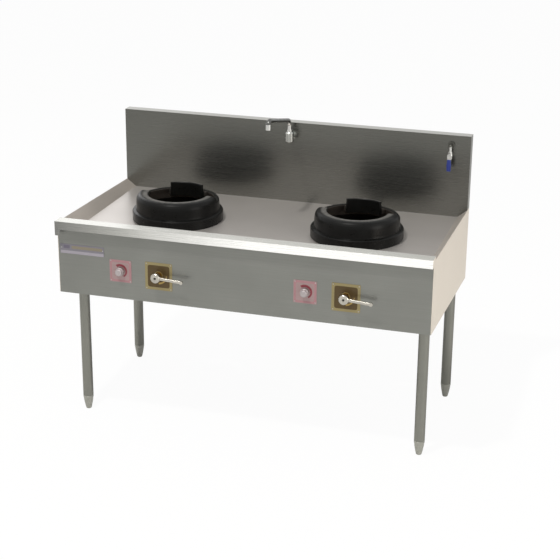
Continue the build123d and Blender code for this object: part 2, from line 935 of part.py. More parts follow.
def plate_rivets():
    heads = []
    face_y = panel_y - plate_sheet
    for x in ring_xs:
        main_corner = (x + main_offset, control_z - main_plate_drop, main_plate_size / 2 - 6)
        pilot_corner = (x + pilot_offset, control_z, pilot_plate_size / 2 - 6)
        for cx, cz, reach in (main_corner, pilot_corner):
            for dx in (-1, 1):
                for dz in (-1, 1):
                    heads.append(rivet(cx + dx * reach, cz + dz * reach, face_y))
    x0, x1, z0, z1 = name_plate_spot()
    for px in (x0 + 6, x1 - 6):
        heads.append(rivet(px, (z0 + z1) / 2, face_y))
    return heads


# ---- gas pipes -------------------------------------------------------------------------------------
def gas_manifold():
    start_x = ring_xs[0] + pilot_offset - manifold_overhang
    end_x = half_width - manifold_side - manifold_elbow
    pipe = rod_x(manifold_y, manifold_z, start_x, end_x, manifold_radius)
    cap_radius = manifold_radius + socket_step
    pipe += rod_x(manifold_y, manifold_z, start_x - manifold_cap, start_x + 2, cap_radius)
    for x in ring_xs:
        main_x = x + main_offset
        pilot_x = x + pilot_offset
        stub_base = manifold_z - manifold_radius - pilot_stub_drop
        tee_radius = valve_port_radius + socket_step
        pipe += rod_z(main_x, manifold_y, control_z + valve_port_up, manifold_z, tee_radius)
        pipe += rod_z(pilot_x, manifold_y, stub_base, manifold_z, pilot_stub_radius)
    return pipe


def gas_inlet_pipe():
    # elbow beside the panel, long run to the back, and the threaded socket
    turn_x = half_width - manifold_side
    socket_y = back_end_y - inlet_socket_length
    pipe = pipe_run(
        [
            (turn_x - manifold_elbow, manifold_y, manifold_z),
            (turn_x, manifold_y, manifold_z),
            (turn_x, socket_y + 4, manifold_z),
        ],
        manifold_radius, manifold_elbow * 0.7,
    )
    start_x = turn_x - manifold_elbow
    pipe += rod_x(manifold_y, manifold_z, start_x, start_x + 12, manifold_radius + socket_step)
    pipe += rod_y(turn_x, manifold_z, socket_y, back_end_y, inlet_socket_radius)
    pipe -= rod_y(turn_x, manifold_z, back_end_y - inlet_length, back_end_y + 1, inlet_bore)
    return pipe


def burner_pipe(x):
    cx = x + main_offset
    top = control_z - valve_port_down
    end_y = ring_y - mixer_length - injector_seat - injector_nut_length
    drop = top - mixer_z
    bend = min(16.0, drop * 0.45, main_offset * 0.45)
    pipe = pipe_run(
        [(cx, manifold_y, top), (cx, manifold_y, mixer_z), (x, manifold_y, mixer_z), (x, end_y, mixer_z)],
        supply_radius, bend,
    )
    pipe += rod_z(cx, manifold_y, top - 8, top, supply_radius + 4)
    return pipe


def pilot_tube(x):
    cx = x + pilot_offset
    px, py = pilot_place(x)
    end_y = py - pilot_block / 2
    top = control_z - pilot_port_drop
    low = mixer_z
    tube = pipe_run(
        [(cx, manifold_y, top), (cx, manifold_y, low), (px, manifold_y + 34, low), (px, end_y, low)],
        pilot_tube_radius, 10.0,
    )
    tube += rod_z(cx, manifold_y, top - 8, top, pilot_tube_radius + 3)
    tube += hex_y(px, low, end_y - 8, end_y, 11)
    return tube


# ---- water -----------------------------------------------------------------------------------------
def tap_body():
    base = deck_height + tap_body_base
    top = base + tap_body_height
    middle = base + tap_body_height / 2
    r = tap_body_radius
    body = turned(
        [
            (0, 0),
            (r - 5, 0),
            (r, 5),
            (r, tap_body_height - 6),
            (r - 5, tap_body_height),
            (0, tap_body_height),
        ],
        0, tap_y, base,
    )
    body += rod_y(0, middle, tap_y, splash_y, 12)
    body += rod_y(0, middle, splash_y - wall_flange_thick, splash_y, wall_flange_radius)
    body += rod_y(0, middle, splash_y - 1, splash_y + sheet + 12, water_pipe_radius)
    body -= rod_z(0, tap_y, top - 16, top + 1, riser_radius - 2 + spindle_gap)
    return body


def tap_spout():
    base = deck_height + tap_body_base + tap_body_height + joint_gap
    top = base + riser_height
    end_y = tap_y - spout_reach
    path = [
        (0, tap_y, base),
        (0, tap_y, top),
        (0, end_y, top + spout_rise),
        (0, end_y - 2, top + spout_rise - nozzle_length * 0.8),
    ]
    arc = FilletPolyline(*path, radius=[28, 16])
    start = Plane(origin=arc @ 0, z_dir=arc % 0)
    tube = sweep(start * Circle(riser_radius), path=arc)
    tube += rod_z(0, tap_y, base, base + 8, riser_radius + 3)
    tube += rod_z(0, tap_y, base - 15, base + 2, riser_radius - 2)
    tip_z = top + spout_rise - nozzle_length * 0.8
    nozzle_low = tip_z - nozzle_length * 0.6
    nozzle = rod_z(0, end_y - 2, nozzle_low, nozzle_low + nozzle_length, nozzle_radius)
    nozzle -= rod_z(0, end_y - 2, nozzle_low - 1, nozzle_low + nozzle_length * 0.3, nozzle_radius - 3)
    return tube + nozzle


def water_valve():
    x = water_valve_x
    y = splash_y - water_valve_set
    pipe_z = deck_height + water_valve_lift + water_body_height
    body_low = pipe_z - 22 - water_body_height
    body = rod_y(x, pipe_z, y, splash_y, 6.5)
    body += rod_y(x, pipe_z, splash_y - wall_flange_thick, splash_y, wall_flange_radius * 0.75)
    body += rod_y(x, pipe_z, splash_y - 1, splash_y + sheet + 12, water_pipe_radius)
    body += Pos(x, y, pipe_z) * Sphere(6.5)
    body += rod_z(x, y, pipe_z - 24, pipe_z, 6.5)
    body += rod_z(x, y, body_low, pipe_z - 22, water_body_radius)
    body += Pos(x, y, body_low + water_body_height / 2) * Sphere(water_body_radius + 1.5)
    body += cone_z(x, y, body_low - 14, body_low, 7, 9.5)
    body -= rod_z(x, y, body_low - 15, body_low - 2, 5)
    stem_z = body_low + water_body_height / 2
    front = y - water_body_radius - 7
    body += rod_y(x, stem_z, front, y, 6.5)
    body -= rod_y(x, stem_z, front - 1, y - 4, 3 + spindle_gap)
    return body


def water_lever():
    x = water_valve_x
    y = splash_y - water_valve_set
    pipe_z = deck_height + water_valve_lift + water_body_height
    stem_z = pipe_z - 22 - water_body_height / 2
    front = y - water_body_radius - 7 - joint_gap
    stem = rod_y(x, stem_z, front - water_lever_thick - 4, y - 4 - joint_gap, 3)
    half = water_lever_width / 2
    plate = Polyline(
        (x - half * 0.8, 0, stem_z + 8),
        (x + half * 0.8, 0, stem_z + 8),
        (x + half, 0, stem_z - 4),
        (x + half * 0.7, 0, stem_z - water_lever_length * 0.35),
        (x + half, 0, stem_z - water_lever_length * 0.6),
        (x + half * 0.8, 0, stem_z - water_lever_length),
        (x - half * 0.8, 0, stem_z - water_lever_length),
        (x - half, 0, stem_z - water_lever_length * 0.6),
        (x - half * 0.7, 0, stem_z - water_lever_length * 0.35),
        (x - half, 0, stem_z - 4),
        close=True,
    )
    lever = extrude(make_face(plate), water_lever_thick, dir=(0, 1, 0))
    lever = Pos(0, front - water_lever_thick, 0) * lever
    lever += hex_y(x, stem_z, front - water_lever_thick - 4, front - water_lever_thick, 10)
    return lever + stem


def water_pipe():
    y = splash_y + splash_depth / 2
    z = deck_height + water_valve_lift + water_body_height
    tap_z = deck_height + tap_body_base + tap_body_height / 2
    drop_x = half_width - water_inlet_side
    low = deck_height - water_inlet_drop
    pipe = rod_x(y, z, -water_pipe_radius - 4, water_valve_x + 12, water_pipe_radius)
    pipe += rod_z(0, y, min(z, tap_z) - 12, max(z, tap_z) + 12, water_pipe_radius + 1.5)
    pipe += rod_y(water_valve_x, z, splash_y + sheet + 12, y, water_pipe_radius + 1.5)
    pipe += rod_y(0, tap_z, splash_y + sheet + 12, y, water_pipe_radius + 1)
    drop_path = [(drop_x, y, z), (drop_x, y, low), (drop_x, back_end_y - 20, low)]
    pipe += pipe_run(drop_path, water_pipe_radius, 12.0)
    pipe += rod_y(drop_x, low, back_end_y - 30, back_end_y, inlet_socket_radius - 4)
    pipe -= rod_y(drop_x, low, back_end_y - water_inlet_length, back_end_y + 1, water_inlet_bore)
    return pipe


def drain_waste():
    lip = 3.0
    profile = [
        (drain_pipe_radius - 2, -drain_depth - drain_pipe_length),
        (drain_pipe_radius, -drain_depth - drain_pipe_length),
        (drain_pipe_radius, -drain_depth - 4),
        (drain_radius - joint_gap, -drain_depth + 4),
        (drain_radius - joint_gap, 0),
        (drain_radius + 7, 0),
        (drain_radius + 7, 0.8),
        (drain_radius + 3, lip - 1),
        (strainer_radius + joint_gap * 2, lip - 1),
        (strainer_radius + joint_gap * 2, -3),
        (strainer_radius - 4, -3),
        (strainer_radius - 4, -drain_depth + 6),
        (drain_pipe_radius - 2, -drain_depth - 2),
    ]
    return turned(profile, drain_x, drain_y, deck_height)


def drain_strainer():
    base = deck_height - 3 + joint_gap
    disc = rod_z(drain_x, drain_y, base, base + strainer_sheet, strainer_radius)
    rows = ((strainer_holes, strainer_radius * 0.72), (strainer_holes // 2, strainer_radius * 0.38))
    for count, radius in rows:
        for index in range(count):
            angle = math.radians(index * 360 / count)
            px = drain_x + radius * math.cos(angle)
            py = drain_y + radius * math.sin(angle)
            disc -= rod_z(px, py, base - 1, base + strainer_sheet + 1, 3)
    disc += rod_z(drain_x, drain_y, base, base + 6, 3)
    return disc


def panel_screw(x, z, face_y):
    head = turned([(0, 0), (5, 0), (4, 1.8), (0, 2.2)], 0, 0, 0)
    return Pos(x, face_y, z) * Rot(-90, 0, 0) * head


def panel_screws():
    screws = []
    edge_x = half_width - side_fold / 2
    span = deck_under - side_back_base
    for x in (-edge_x, edge_x):
        for share in (0.15, 0.45, 0.75):
            screws.append(panel_screw(x, side_back_base + span * share, back_y))
    return screws


# ---- write every piece ------------------------------------------------------------------------------
os.makedirs("parts", exist_ok=True)
save("deck_pan", deck_pan())
save("splashback", splashback())
save("front_panel", front_panel())
save("side_panel_left", side_panel(-1))
save("side_panel_right", side_panel(1))
save("back_panel", back_panel())
save("rail_front", long_rail(leg_front_y))
save("rail_rear", long_rail(leg_back_y))
save("rail_left", short_rail(-1))
save("rail_right", short_rail(1))
save("cross_rails", cross_rails())
save("leg_sockets", leg_sockets())
save("socket_screws", socket_screws())
for place, leg_at_x, leg_at_y in leg_places():
    save("leg_" + place, leg_tube(leg_at_x, leg_at_y))
    save("foot_" + place, bullet_foot(leg_at_x, leg_at_y))
for side_name, centre_x in zip(sides, ring_xs):
    save("wok_ring_" + side_name, wok_ring(centre_x))
    save("burner_chamber_" + side_name, burner_chamber(centre_x))
    save("chamber_lining_" + side_name, chamber_lining(centre_x))
    save("burner_" + side_name, burner(centre_x))
    save("pilot_burner_" + side_name, pilot_burner(centre_x))
    save("main_valve_" + side_name, main_valve(centre_x))
    save("main_spindle_" + side_name, main_spindle(centre_x))
    save("main_lever_" + side_name, main_lever(centre_x))
    save("pilot_valve_" + side_name, pilot_valve(centre_x))
    save("pilot_knob_" + side_name, pilot_knob(centre_x))
    save("burner_pipe_" + side_name, burner_pipe(centre_x))
    save("pilot_tube_" + side_name, pilot_tube(centre_x))
save("injectors", [injector(x) for x in ring_xs])
main_spots = [x + main_offset for x in ring_xs]
pilot_spots = [x + pilot_offset for x in ring_xs]
main_plates = [square_plate(x, main_plate_size, valve_neck_radius, main_plate_drop) for x in main_spots]
save("main_plates", main_plates)
save("pilot_plates", [square_plate(x, pilot_plate_size, pilot_neck_radius, 0) for x in pilot_spots])
save("name_plate", name_plate())
save("plate_rivets", plate_rivets())
save("panel_screws", panel_screws())
save("gas_manifold", gas_manifold())
save("gas_inlet_pipe", gas_inlet_pipe())
save("tap_body", tap_body())
save("tap_spout", tap_spout())
save("water_valve", water_valve())
save("water_lever", water_lever())
save("water_pipe", water_pipe())
save("drain_waste", drain_waste())
save("drain_strainer", drain_strainer())
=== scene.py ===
import math

import bmesh
import bpy
from mathutils import Matrix, Vector


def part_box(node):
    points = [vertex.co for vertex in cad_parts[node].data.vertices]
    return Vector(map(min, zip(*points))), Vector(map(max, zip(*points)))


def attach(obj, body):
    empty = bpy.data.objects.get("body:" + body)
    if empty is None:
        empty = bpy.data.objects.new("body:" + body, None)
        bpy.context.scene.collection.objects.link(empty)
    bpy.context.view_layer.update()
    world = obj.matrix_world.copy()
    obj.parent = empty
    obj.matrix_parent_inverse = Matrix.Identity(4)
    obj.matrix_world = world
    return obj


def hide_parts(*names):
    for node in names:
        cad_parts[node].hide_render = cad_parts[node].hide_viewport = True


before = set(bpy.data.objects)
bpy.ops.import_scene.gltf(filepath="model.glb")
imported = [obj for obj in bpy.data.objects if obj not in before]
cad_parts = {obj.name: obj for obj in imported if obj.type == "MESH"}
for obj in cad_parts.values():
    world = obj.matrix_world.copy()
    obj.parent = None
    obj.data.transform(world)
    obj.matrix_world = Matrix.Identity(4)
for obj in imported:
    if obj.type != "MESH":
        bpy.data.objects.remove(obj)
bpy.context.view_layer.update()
sides = ("left", "right")
mm = 0.001


# ---- Support frame ---------------------------------------------------------------------------------
# Square steel tube, welded into a ring under the deck, with two cross bars under each burner.
# Hot-dip galvanised after welding, so it shows a faint crystal pattern and no polish.
def linear(code):
    # a screen colour code as linear light, with a full alpha
    channels = [int(code[place:place + 2], 16) / 255 for place in (1, 3, 5)]
    return [c / 12.92 if c <= 0.04045 else ((c + 0.055) / 1.055) ** 2.4 for c in channels] + [1.0]


def add(tree, kind, inputs=None, **settings):
    # one node, with each input linked to a socket or set to a value
    made = tree.nodes.new(kind)
    for name, value in settings.items():
        setattr(made, name, value)
    for socket, value in (inputs or {}).items():
        if isinstance(value, bpy.types.NodeSocket):
            tree.links.new(value, made.inputs[socket])
        else:
            made.inputs[socket].default_value = value
    return made


def new_material(name, colour, metallic, roughness):
    # a bare finish: its tree, its shader, and the place on the piece in metres
    made = bpy.data.materials.new(name)
    made.use_nodes = True
    tree = made.node_tree
    shader = tree.nodes["Principled BSDF"]
    shader.inputs["Base Color"].default_value = linear(colour)
    shader.inputs["Metallic"].default_value = metallic
    shader.inputs["Roughness"].default_value = roughness
    place = add(tree, "ShaderNodeTexCoord").outputs["Object"]
    return made, tree, shader, place


def dress(material, *nodes):
    # the CAD nodes keep their shape and take this finish alone
    for name in nodes:
        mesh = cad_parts[name].data
        mesh.materials.clear()
        mesh.materials.append(material)


# zinc crystals differ in how bright and how smooth they are, which mottles the grey
crystal = 14 * mm
galvanised, tree, shader, place = new_material("galvanised_steel", "#8E9294", 0.85, 0.42)
cells = add(tree, "ShaderNodeTexVoronoi", {"Vector": place, "Scale": 1 / crystal})
shade = add(tree, "ShaderNodeMix", {"Factor": cells.outputs["Color"], "A": linear("#80858A"),
                                    "B": linear("#9DA1A2")}, data_type="RGBA")
shine = add(tree, "ShaderNodeMapRange", {"Value": cells.outputs["Color"], "To Min": 0.34, "To Max": 0.52})
tree.links.new(shade.outputs["Result"], shader.inputs["Base Color"])
tree.links.new(shine.outputs["Result"], shader.inputs["Roughness"])
dress(galvanised, "rail_front", "rail_rear", "rail_left", "rail_right", "cross_rails", "leg_sockets")


# ---- Legs and feet ---------------------------------------------------------------------------------
# Round stainless tube pushed into the frame's sockets and held by a set screw each.
# The bullet feet are turned stainless with a threaded stem, so each corner can be levelled.
def brushed(name, colour, metallic, roughness, grain, dark=0.9, light=1.06, relief_depth=0.12):
    # fine scratches along the grain's axes: 0.1 to 0.3 mm apart in truth, drawn coarser to show
    made, tree, shader, place = new_material(name, colour, metallic, roughness)
    scratch_long, scratch_apart, scratch_deep, smear_wide = 220 * mm, 1.3 * mm, 0.05 * mm, 260 * mm
    scale = [1 / (scratch_long if axis in grain else scratch_apart) for axis in "XYZ"]
    lines = add(tree, "ShaderNodeMapping", {"Vector": place, "Scale": scale})
    scratch = add(tree, "ShaderNodeTexNoise", {"Vector": lines.outputs["Vector"], "Scale": 1.0,
                                               "Detail": 3.0, "Roughness": 0.6})
    smear = add(tree, "ShaderNodeTexNoise", {"Vector": place, "Scale": 1 / smear_wide, "Detail": 2.0})
    blend = add(tree, "ShaderNodeMath", {0: scratch.outputs["Fac"], 1: smear.outputs["Fac"]},
                operation="MULTIPLY")
    base = Vector(linear(colour)[:3])
    tone = add(tree, "ShaderNodeMapRange", {"Value": blend.outputs["Value"], "From Min": 0.12,
                                            "From Max": 0.4, "To Min": 0.0, "To Max": 1.0})
    shade = add(tree, "ShaderNodeMix", {"Factor": tone.outputs["Result"],
                                        "A": [*(base * dark), 1.0],
                                        "B": [*(base * light), 1.0]}, data_type="RGBA")
    shine = add(tree, "ShaderNodeMapRange", {"Value": scratch.outputs["Fac"], "From Min": 0.3,
                                             "From Max": 0.7, "To Min": roughness - 0.05,
                                             "To Max": roughness + 0.05})
    relief = add(tree, "ShaderNodeBump", {"Height": scratch.outputs["Fac"], "Strength": relief_depth,
                                          "Distance": scratch_deep})
    tree.links.new(shade.outputs["Result"], shader.inputs["Base Color"])
    tree.links.new(shine.outputs["Result"], shader.inputs["Roughness"])
    tree.links.new(relief.outputs["Normal"], shader.inputs["Normal"])
    return made


corners = ("front_left", "front_right", "rear_left", "rear_right")
# a drawn tube keeps its grain along its length, which gives one long soft highlight
tube_finish = brushed("polished_leg_tube", "#868680", 0.95, 0.4, "Z")
# a turned foot has its fine tool marks round it, which make it paler and duller than the tube
foot_finish = brushed("turned_foot", "#A2A29B", 0.6, 0.4, "XY")
dress(tube_finish, *["leg_" + corner for corner in corners])


def smooth(shape):
    for face in shape.faces:
        face.smooth = True


def new_piece(name, shape, material, body):
    # the finished shape becomes a piece of its own, which moves with the body
    mesh = bpy.data.meshes.new(name)
    shape.to_mesh(mesh)
    shape.free()
    mesh.materials.append(material)
    piece = bpy.data.objects.new(name, mesh)
    bpy.context.scene.collection.objects.link(piece)
    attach(piece, body)
    return piece


def turned(name, profile, middle_x, middle_y, material, body):
    # a solid turned about an upright axis, from (radius, height) steps that start and end on the axis
    around, hard_edge = 48, math.radians(35)
    shape = bmesh.new()
    rings = []
    for radius, height in profile:
        steps = around if radius else 1
        rings.append([shape.verts.new((middle_x + radius * math.cos(math.tau * step / around),
                                       middle_y + radius * math.sin(math.tau * step / around), height))
                      for step in range(steps)])
    for lower, upper in zip(rings, rings[1:]):
        for here in range(around):
            after = (here + 1) % around
            corners_of_face = (lower[here % len(lower)], lower[after % len(lower)],
                               upper[after % len(upper)], upper[here % len(upper)])
            shape.faces.new(list(dict.fromkeys(corners_of_face)))
    bmesh.ops.recalc_face_normals(shape, faces=shape.faces)
    smooth(shape)
    piece = new_piece(name, shape, material, body)
    piece.data.set_sharp_from_angle(angle=hard_edge)
    return piece


# each foot is one turning: a blunt bullet nose, a shank as wide as the tube, and an M12 thread. The nose
# is given as radius and height above the floor, in mm
nose_shape = ((7.0, 0.0), (9.8, 0.9), (11.4, 3.2), (12.8, 9.0), (15.0, 19.0), (17.0, 29.0), (18.7, 39.0),
              (19.7, 48.0))
shank_low, shank_top, chamfer = 55 * mm, 61.5 * mm, 0.6 * mm
stem_radius, thread_deep, pitch = 6.0 * mm, 0.9 * mm, 1.75 * mm
for corner in corners:
    foot_low, foot_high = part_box("foot_" + corner)
    leg_low, leg_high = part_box("leg_" + corner)
    shank = (leg_high.x - leg_low.x) / 2
    profile = [(0.0, 0.0)] + [(radius * mm, height * mm) for radius, height in nose_shape]
    profile += [(shank, shank_low), (shank, shank_top - chamfer), (shank - chamfer, shank_top)]
    thread_z = shank_top
    while thread_z + pitch < foot_high.z:
        profile += [(stem_radius - thread_deep, thread_z), (stem_radius, thread_z + pitch / 2)]
        thread_z += pitch
    profile += [(stem_radius - thread_deep, foot_high.z), (0.0, foot_high.z)]
    foot = turned("foot_" + corner + "_turning", profile, (foot_low.x + foot_high.x) / 2,
                  (foot_low.y + foot_high.y) / 2, foot_finish, "foot_" + corner)
    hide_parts("foot_" + corner)


# ---- Burner chambers and linings --------------------------------------------------------------------
# Mild-steel cups hung under the deck. Heat has left them brown and blue in cloudy patches.
# Each holds a cast fireclay cone, pale where it is clean and sooted towards the ring.
def pair(name):
    return [name + "_" + side for side in sides]


chamber, tree, shader, place = new_material("heat_tinted_steel", "#5A544E", 0.75, 0.48)
cloud = add(tree, "ShaderNodeTexNoise", {"Vector": place, "Scale": 1 / (60 * mm), "Detail": 4.0})
tint = add(tree, "ShaderNodeValToRGB", {"Fac": cloud.outputs["Fac"]})
tint.color_ramp.elements[0].position = 0.35
tint.color_ramp.elements[0].color = linear("#4A4F5C")
tint.color_ramp.elements[1].position = 0.65
tint.color_ramp.elements[1].color = linear("#6B5A48")
tree.links.new(tint.outputs["Color"], shader.inputs["Base Color"])
dress(chamber, *pair("burner_chamber"))

fireclay, tree, shader, place = new_material("cast_fireclay", "#B7A184", 0.0, 0.92)
grain = add(tree, "ShaderNodeTexNoise", {"Vector": place, "Scale": 1 / (2.5 * mm), "Detail": 4.0})
height = add(tree, "ShaderNodeSeparateXYZ", {"Vector": place})
lining_low, lining_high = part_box("chamber_lining_left")
soot = add(tree, "ShaderNodeMapRange", {"Value": height.outputs["Z"], "From Min": lining_low.z,
                                        "From Max": lining_high.z, "To Min": 0.1, "To Max": 0.95})
spread = add(tree, "ShaderNodeMath", {0: soot.outputs["Result"], 1: grain.outputs["Fac"]},
             operation="MULTIPLY")
shade = add(tree, "ShaderNodeMix", {"Factor": spread.outputs["Value"], "A": linear("#BBA588"),
                                    "B": linear("#2B2622")}, data_type="RGBA")
relief = add(tree, "ShaderNodeBump", {"Height": grain.outputs["Fac"], "Strength": 0.5,
                                      "Distance": 0.6 * mm})
tree.links.new(shade.outputs["Result"], shader.inputs["Base Color"])
tree.links.new(relief.outputs["Normal"], shader.inputs["Normal"])
dress(fireclay, *pair("chamber_lining"))


# ---- Burners, injectors and pilots ------------------------------------------------------------------
# Grey-iron castings with a crown of jets and a mixing tube, left raw and browned by use.
# Injectors and pilot burners are turned brass.
def cast_iron(name, colour, light, roughness, grit, depth, metallic=0.0):
    # sand casting leaves a pebbled skin about as coarse as the sand
    made, tree, shader, place = new_material(name, colour, metallic, roughness)
    pebbles = add(tree, "ShaderNodeTexNoise", {"Vector": place, "Scale": 1 / grit, "Detail": 3.0})
    patches = add(tree, "ShaderNodeTexNoise", {"Vector": place, "Scale": 1 / (45 * mm), "Detail": 3.0})
    shade = add(tree, "ShaderNodeMix", {"Factor": patches.outputs["Fac"], "A": linear(colour),
                                        "B": linear(light)}, data_type="RGBA")
    shine = add(tree, "ShaderNodeMapRange", {"Value": patches.outputs["Fac"], "From Min": 0.3,
                                             "From Max": 0.7, "To Min": roughness - 0.06,
                                             "To Max": roughness + 0.08})
    relief = add(tree, "ShaderNodeBump", {"Height": pebbles.outputs["Fac"], "Strength": 0.35,
                                          "Distance": depth})
    tree.links.new(shade.outputs["Result"], shader.inputs["Base Color"])
    tree.links.new(shine.outputs["Result"], shader.inputs["Roughness"])
    tree.links.new(relief.outputs["Normal"], shader.inputs["Normal"])
    return made


def machined(name, colour, dull, roughness, patch):
    # drawn or turned metal that has dulled in soft patches
    made, tree, shader, place = new_material(name, colour, 1.0, roughness)
    patches = add(tree, "ShaderNodeTexNoise", {"Vector": place, "Scale": 1 / patch, "Detail": 3.0})
    shade = add(tree, "ShaderNodeMix", {"Factor": patches.outputs["Fac"], "A": linear(colour),
                                        "B": linear(dull)}, data_type="RGBA")
    shine = add(tree, "ShaderNodeMapRange", {"Value": patches.outputs["Fac"], "From Min": 0.35,
                                             "From Max": 0.65, "To Min": roughness - 0.04,
                                             "To Max": roughness + 0.08})
    tree.links.new(shade.outputs["Result"], shader.inputs["Base Color"])
    tree.links.new(shine.outputs["Result"], shader.inputs["Roughness"])
    return made


raw_iron = cast_iron("raw_cast_iron", "#2C2926", "#41372F", 0.72, 2.2 * mm, 0.4 * mm, 0.3)
brass = machined("turned_brass", "#BE9A52", "#8A6C36", 0.3, 30 * mm)
dress(raw_iron, *pair("burner"))
dress(brass, "injectors", *pair("pilot_burner"))


# ---- Gas pipes and valves ---------------------------------------------------------------------------
# The manifold and supply pipes are threaded steel pipe, painted grey after assembly.
# Valves are forged brass and the pilots are fed by thin soft copper tube.
# The paint's brush strokes show as soft ridges and an uneven grey.
pipe_paint, tree, shader, place = new_material("brush_painted_pipe", "#7C7F80", 0.0, 0.48)
strokes = add(tree, "ShaderNodeTexNoise", {"Vector": place, "Scale": 1 / (9 * mm), "Detail": 3.0})
relief = add(tree, "ShaderNodeBump", {"Height": strokes.outputs["Fac"], "Strength": 0.2,
                                      "Distance": 0.2 * mm})
shade = add(tree, "ShaderNodeMix", {"Factor": strokes.outputs["Fac"], "A": linear("#707374"),
                                    "B": linear("#888B8C")}, data_type="RGBA")
tree.links.new(shade.outputs["Result"], shader.inputs["Base Color"])
tree.links.new(relief.outputs["Normal"], shader.inputs["Normal"])
# the water pipe and the pilots' tubes have tarnished in soft patches between pink and brown
copper = machined("drawn_copper", "#C08060", "#8A5A44", 0.32, 40 * mm)
dress(pipe_paint, "gas_manifold", "gas_inlet_pipe", *pair("burner_pipe"))
dress(brass, *pair("main_valve"), *pair("main_spindle"), *pair("pilot_valve"))
dress(copper, "water_pipe", *pair("pilot_tube"))


# ---- Front, side and back panels --------------------------------------------------------------------
# Folded stainless sheet with a horizontal satin grain, hooked behind the nosing at the front and
# under the rims at the sides. The folds have a small radius, which catches the light as a thin line.
def folded(node, radius, material, body="range", suffix="_sheet"):
    # the node's own outline with its sharp folds eased to the bend radius
    same_spot, still_flat, sharp_fold = 0.002 * mm, math.radians(0.5), math.radians(30)
    shape = bmesh.new()
    shape.from_mesh(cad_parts[node].data)
    bmesh.ops.remove_doubles(shape, verts=shape.verts, dist=same_spot)
    bmesh.ops.dissolve_limit(shape, angle_limit=still_flat, verts=shape.verts, edges=shape.edges)
    smooth(shape)
    piece = new_piece(node + suffix, shape, material, body)
    layers = piece.data.attributes
    if "custom_normal" in layers:
        layers.remove(layers["custom_normal"])
    fold = piece.modifiers.new("fold", "BEVEL")
    fold.width = radius
    fold.segments = 3
    fold.limit_method = "ANGLE"
    fold.angle_limit = sharp_fold
    fold.harden_normals = True
    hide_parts(node)
    return piece


# the front's grain runs along it and streaks it, and the sides are so finely ground that they look even
# the same steel is coloured mid grey on the front and pale cream on the sides: painted reflection of what
# each face mirrors
panel_finish = brushed("front_steel_painted_reflection", "#82837F", 0.7, 0.36, "X")
side_finish = brushed("side_steel_painted_reflection", "#DFD5C8", 0.4, 0.42, "Y", 0.98, 1.01, 0.05)
# the back is left as it came from the mill, greyer and without a polish
back_finish = brushed("mill_finish_steel", "#A3A4A2", 0.8, 0.4, "X")
front_bend, side_bend = 0.6 * mm, 0.5 * mm
folded("front_panel", front_bend, panel_finish)
for side in sides:
    folded("side_panel_" + side, side_bend, side_finish)
folded("back_panel", side_bend, back_finish)


# ---- Deck pan, rims and nosing ----------------------------------------------------------------------
# One sheet is folded up into the side rims and the front nosing, and welded and ground at the corners.
# The nosing and its lip are coloured paler than the working surface, which is dulled by scrubbing: this
# is painted highlight on the same sheet. The rims keep the sheet's own satin.
deck_finish = brushed("scrubbed_deck_steel", "#C5C0BC", 0.7, 0.4, "X", 0.94, 1.03, 0.06)
rim_finish = brushed("satin_rim_steel", "#C4BCB4", 0.55, 0.4, "Y")
# the nosing's and the lip's pale colours are painted highlight on the same steel as the deck
nosing_finish = brushed("nosing_steel_painted_highlight", "#D7D7D3", 0.35, 0.26, "X", 0.96, 1.0)
lip_finish = brushed("lip_steel_painted_highlight", "#FDFDFC", 0.35, 0.28, "X", 0.97, 1.0)
# painted highlight along the nosing and its lip, grey at the lip's left end and white towards the right,
# and whitest near the nosing's middle: each stop is a share of the way from the left end to the last x,
# and the tint at it
deck_low, deck_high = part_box("deck_pan")
lip_brightest_x = 50 * mm
lip_painted_highlight_stops = ((0.0, "#797977"), (0.2, "#999996"), (0.36, "#AFAFAC"), (0.5, "#CBCBC9"), (1.0, "#FFFFFF"))
nosing_painted_highlight_stops = ((0.0, "#DEDEDC"), (0.45, "#FFFFFF"), (1.0, "#EAEAE8"))
for finish, last_x, stops in ((lip_finish, lip_brightest_x, lip_painted_highlight_stops),
                              (nosing_finish, deck_high.x, nosing_painted_highlight_stops)):
    tree = finish.node_tree
    shader = tree.nodes["Principled BSDF"]
    point = add(tree, "ShaderNodeTexCoord")
    along = add(tree, "ShaderNodeSeparateXYZ", {"Vector": point.outputs["Object"]})
    way = add(tree, "ShaderNodeMapRange", {"Value": along.outputs["X"], "From Min": deck_low.x,
                                           "From Max": last_x})
    highlight_ramp = add(tree, "ShaderNodeValToRGB", {"Fac": way.outputs["Result"]})
    highlight_ramp.color_ramp.elements[0].color = linear(stops[0][1])
    highlight_ramp.color_ramp.elements[1].color = linear(stops[-1][1])
    for place_along, shade_there in stops[1:-1]:
        highlight_ramp.color_ramp.elements.new(place_along).color = linear(shade_there)
    bare = shader.inputs["Base Color"].links[0].from_socket
    highlight_tint = add(tree, "ShaderNodeMix", {"Factor": 1.0, "A": bare, "B": highlight_ramp.outputs["Color"]},
                data_type="RGBA", blend_type="MULTIPLY")
    tree.links.new(highlight_tint.outputs["Result"], shader.inputs["Base Color"])

deck_bend = 0.7 * mm
deck = folded("deck_pan", deck_bend, deck_finish)
for finish in (rim_finish, nosing_finish, lip_finish, side_finish):
    deck.data.materials.append(finish)
on_rim, on_nosing, on_lip, on_side = 1, 2, 3, 4
# the place of a face's middle tells which fold of the sheet it is on
waste_rise, nosing_deep, rim_wide, sheet_deep = 2 * mm, 53 * mm, 40 * mm, 3 * mm
deck_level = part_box("drain_waste")[1].z - waste_rise
nosing_back = deck_low.y + nosing_deep
rim_inner = deck_high.x - rim_wide
side_slack, lip_slack, nosing_slack = 0.5 * mm, 1 * mm, 0.2 * mm
for face in deck.data.polygons:
    middle = face.center
    if abs(middle.x) > deck_high.x - side_slack:
        face.material_index = on_side
    elif middle.y < deck_low.y + lip_slack:
        face.material_index = on_lip
    elif middle.y < nosing_back + nosing_slack:
        face.material_index = on_nosing
    elif abs(middle.x) > rim_inner and middle.z > deck_level - sheet_deep:
        face.material_index = on_rim


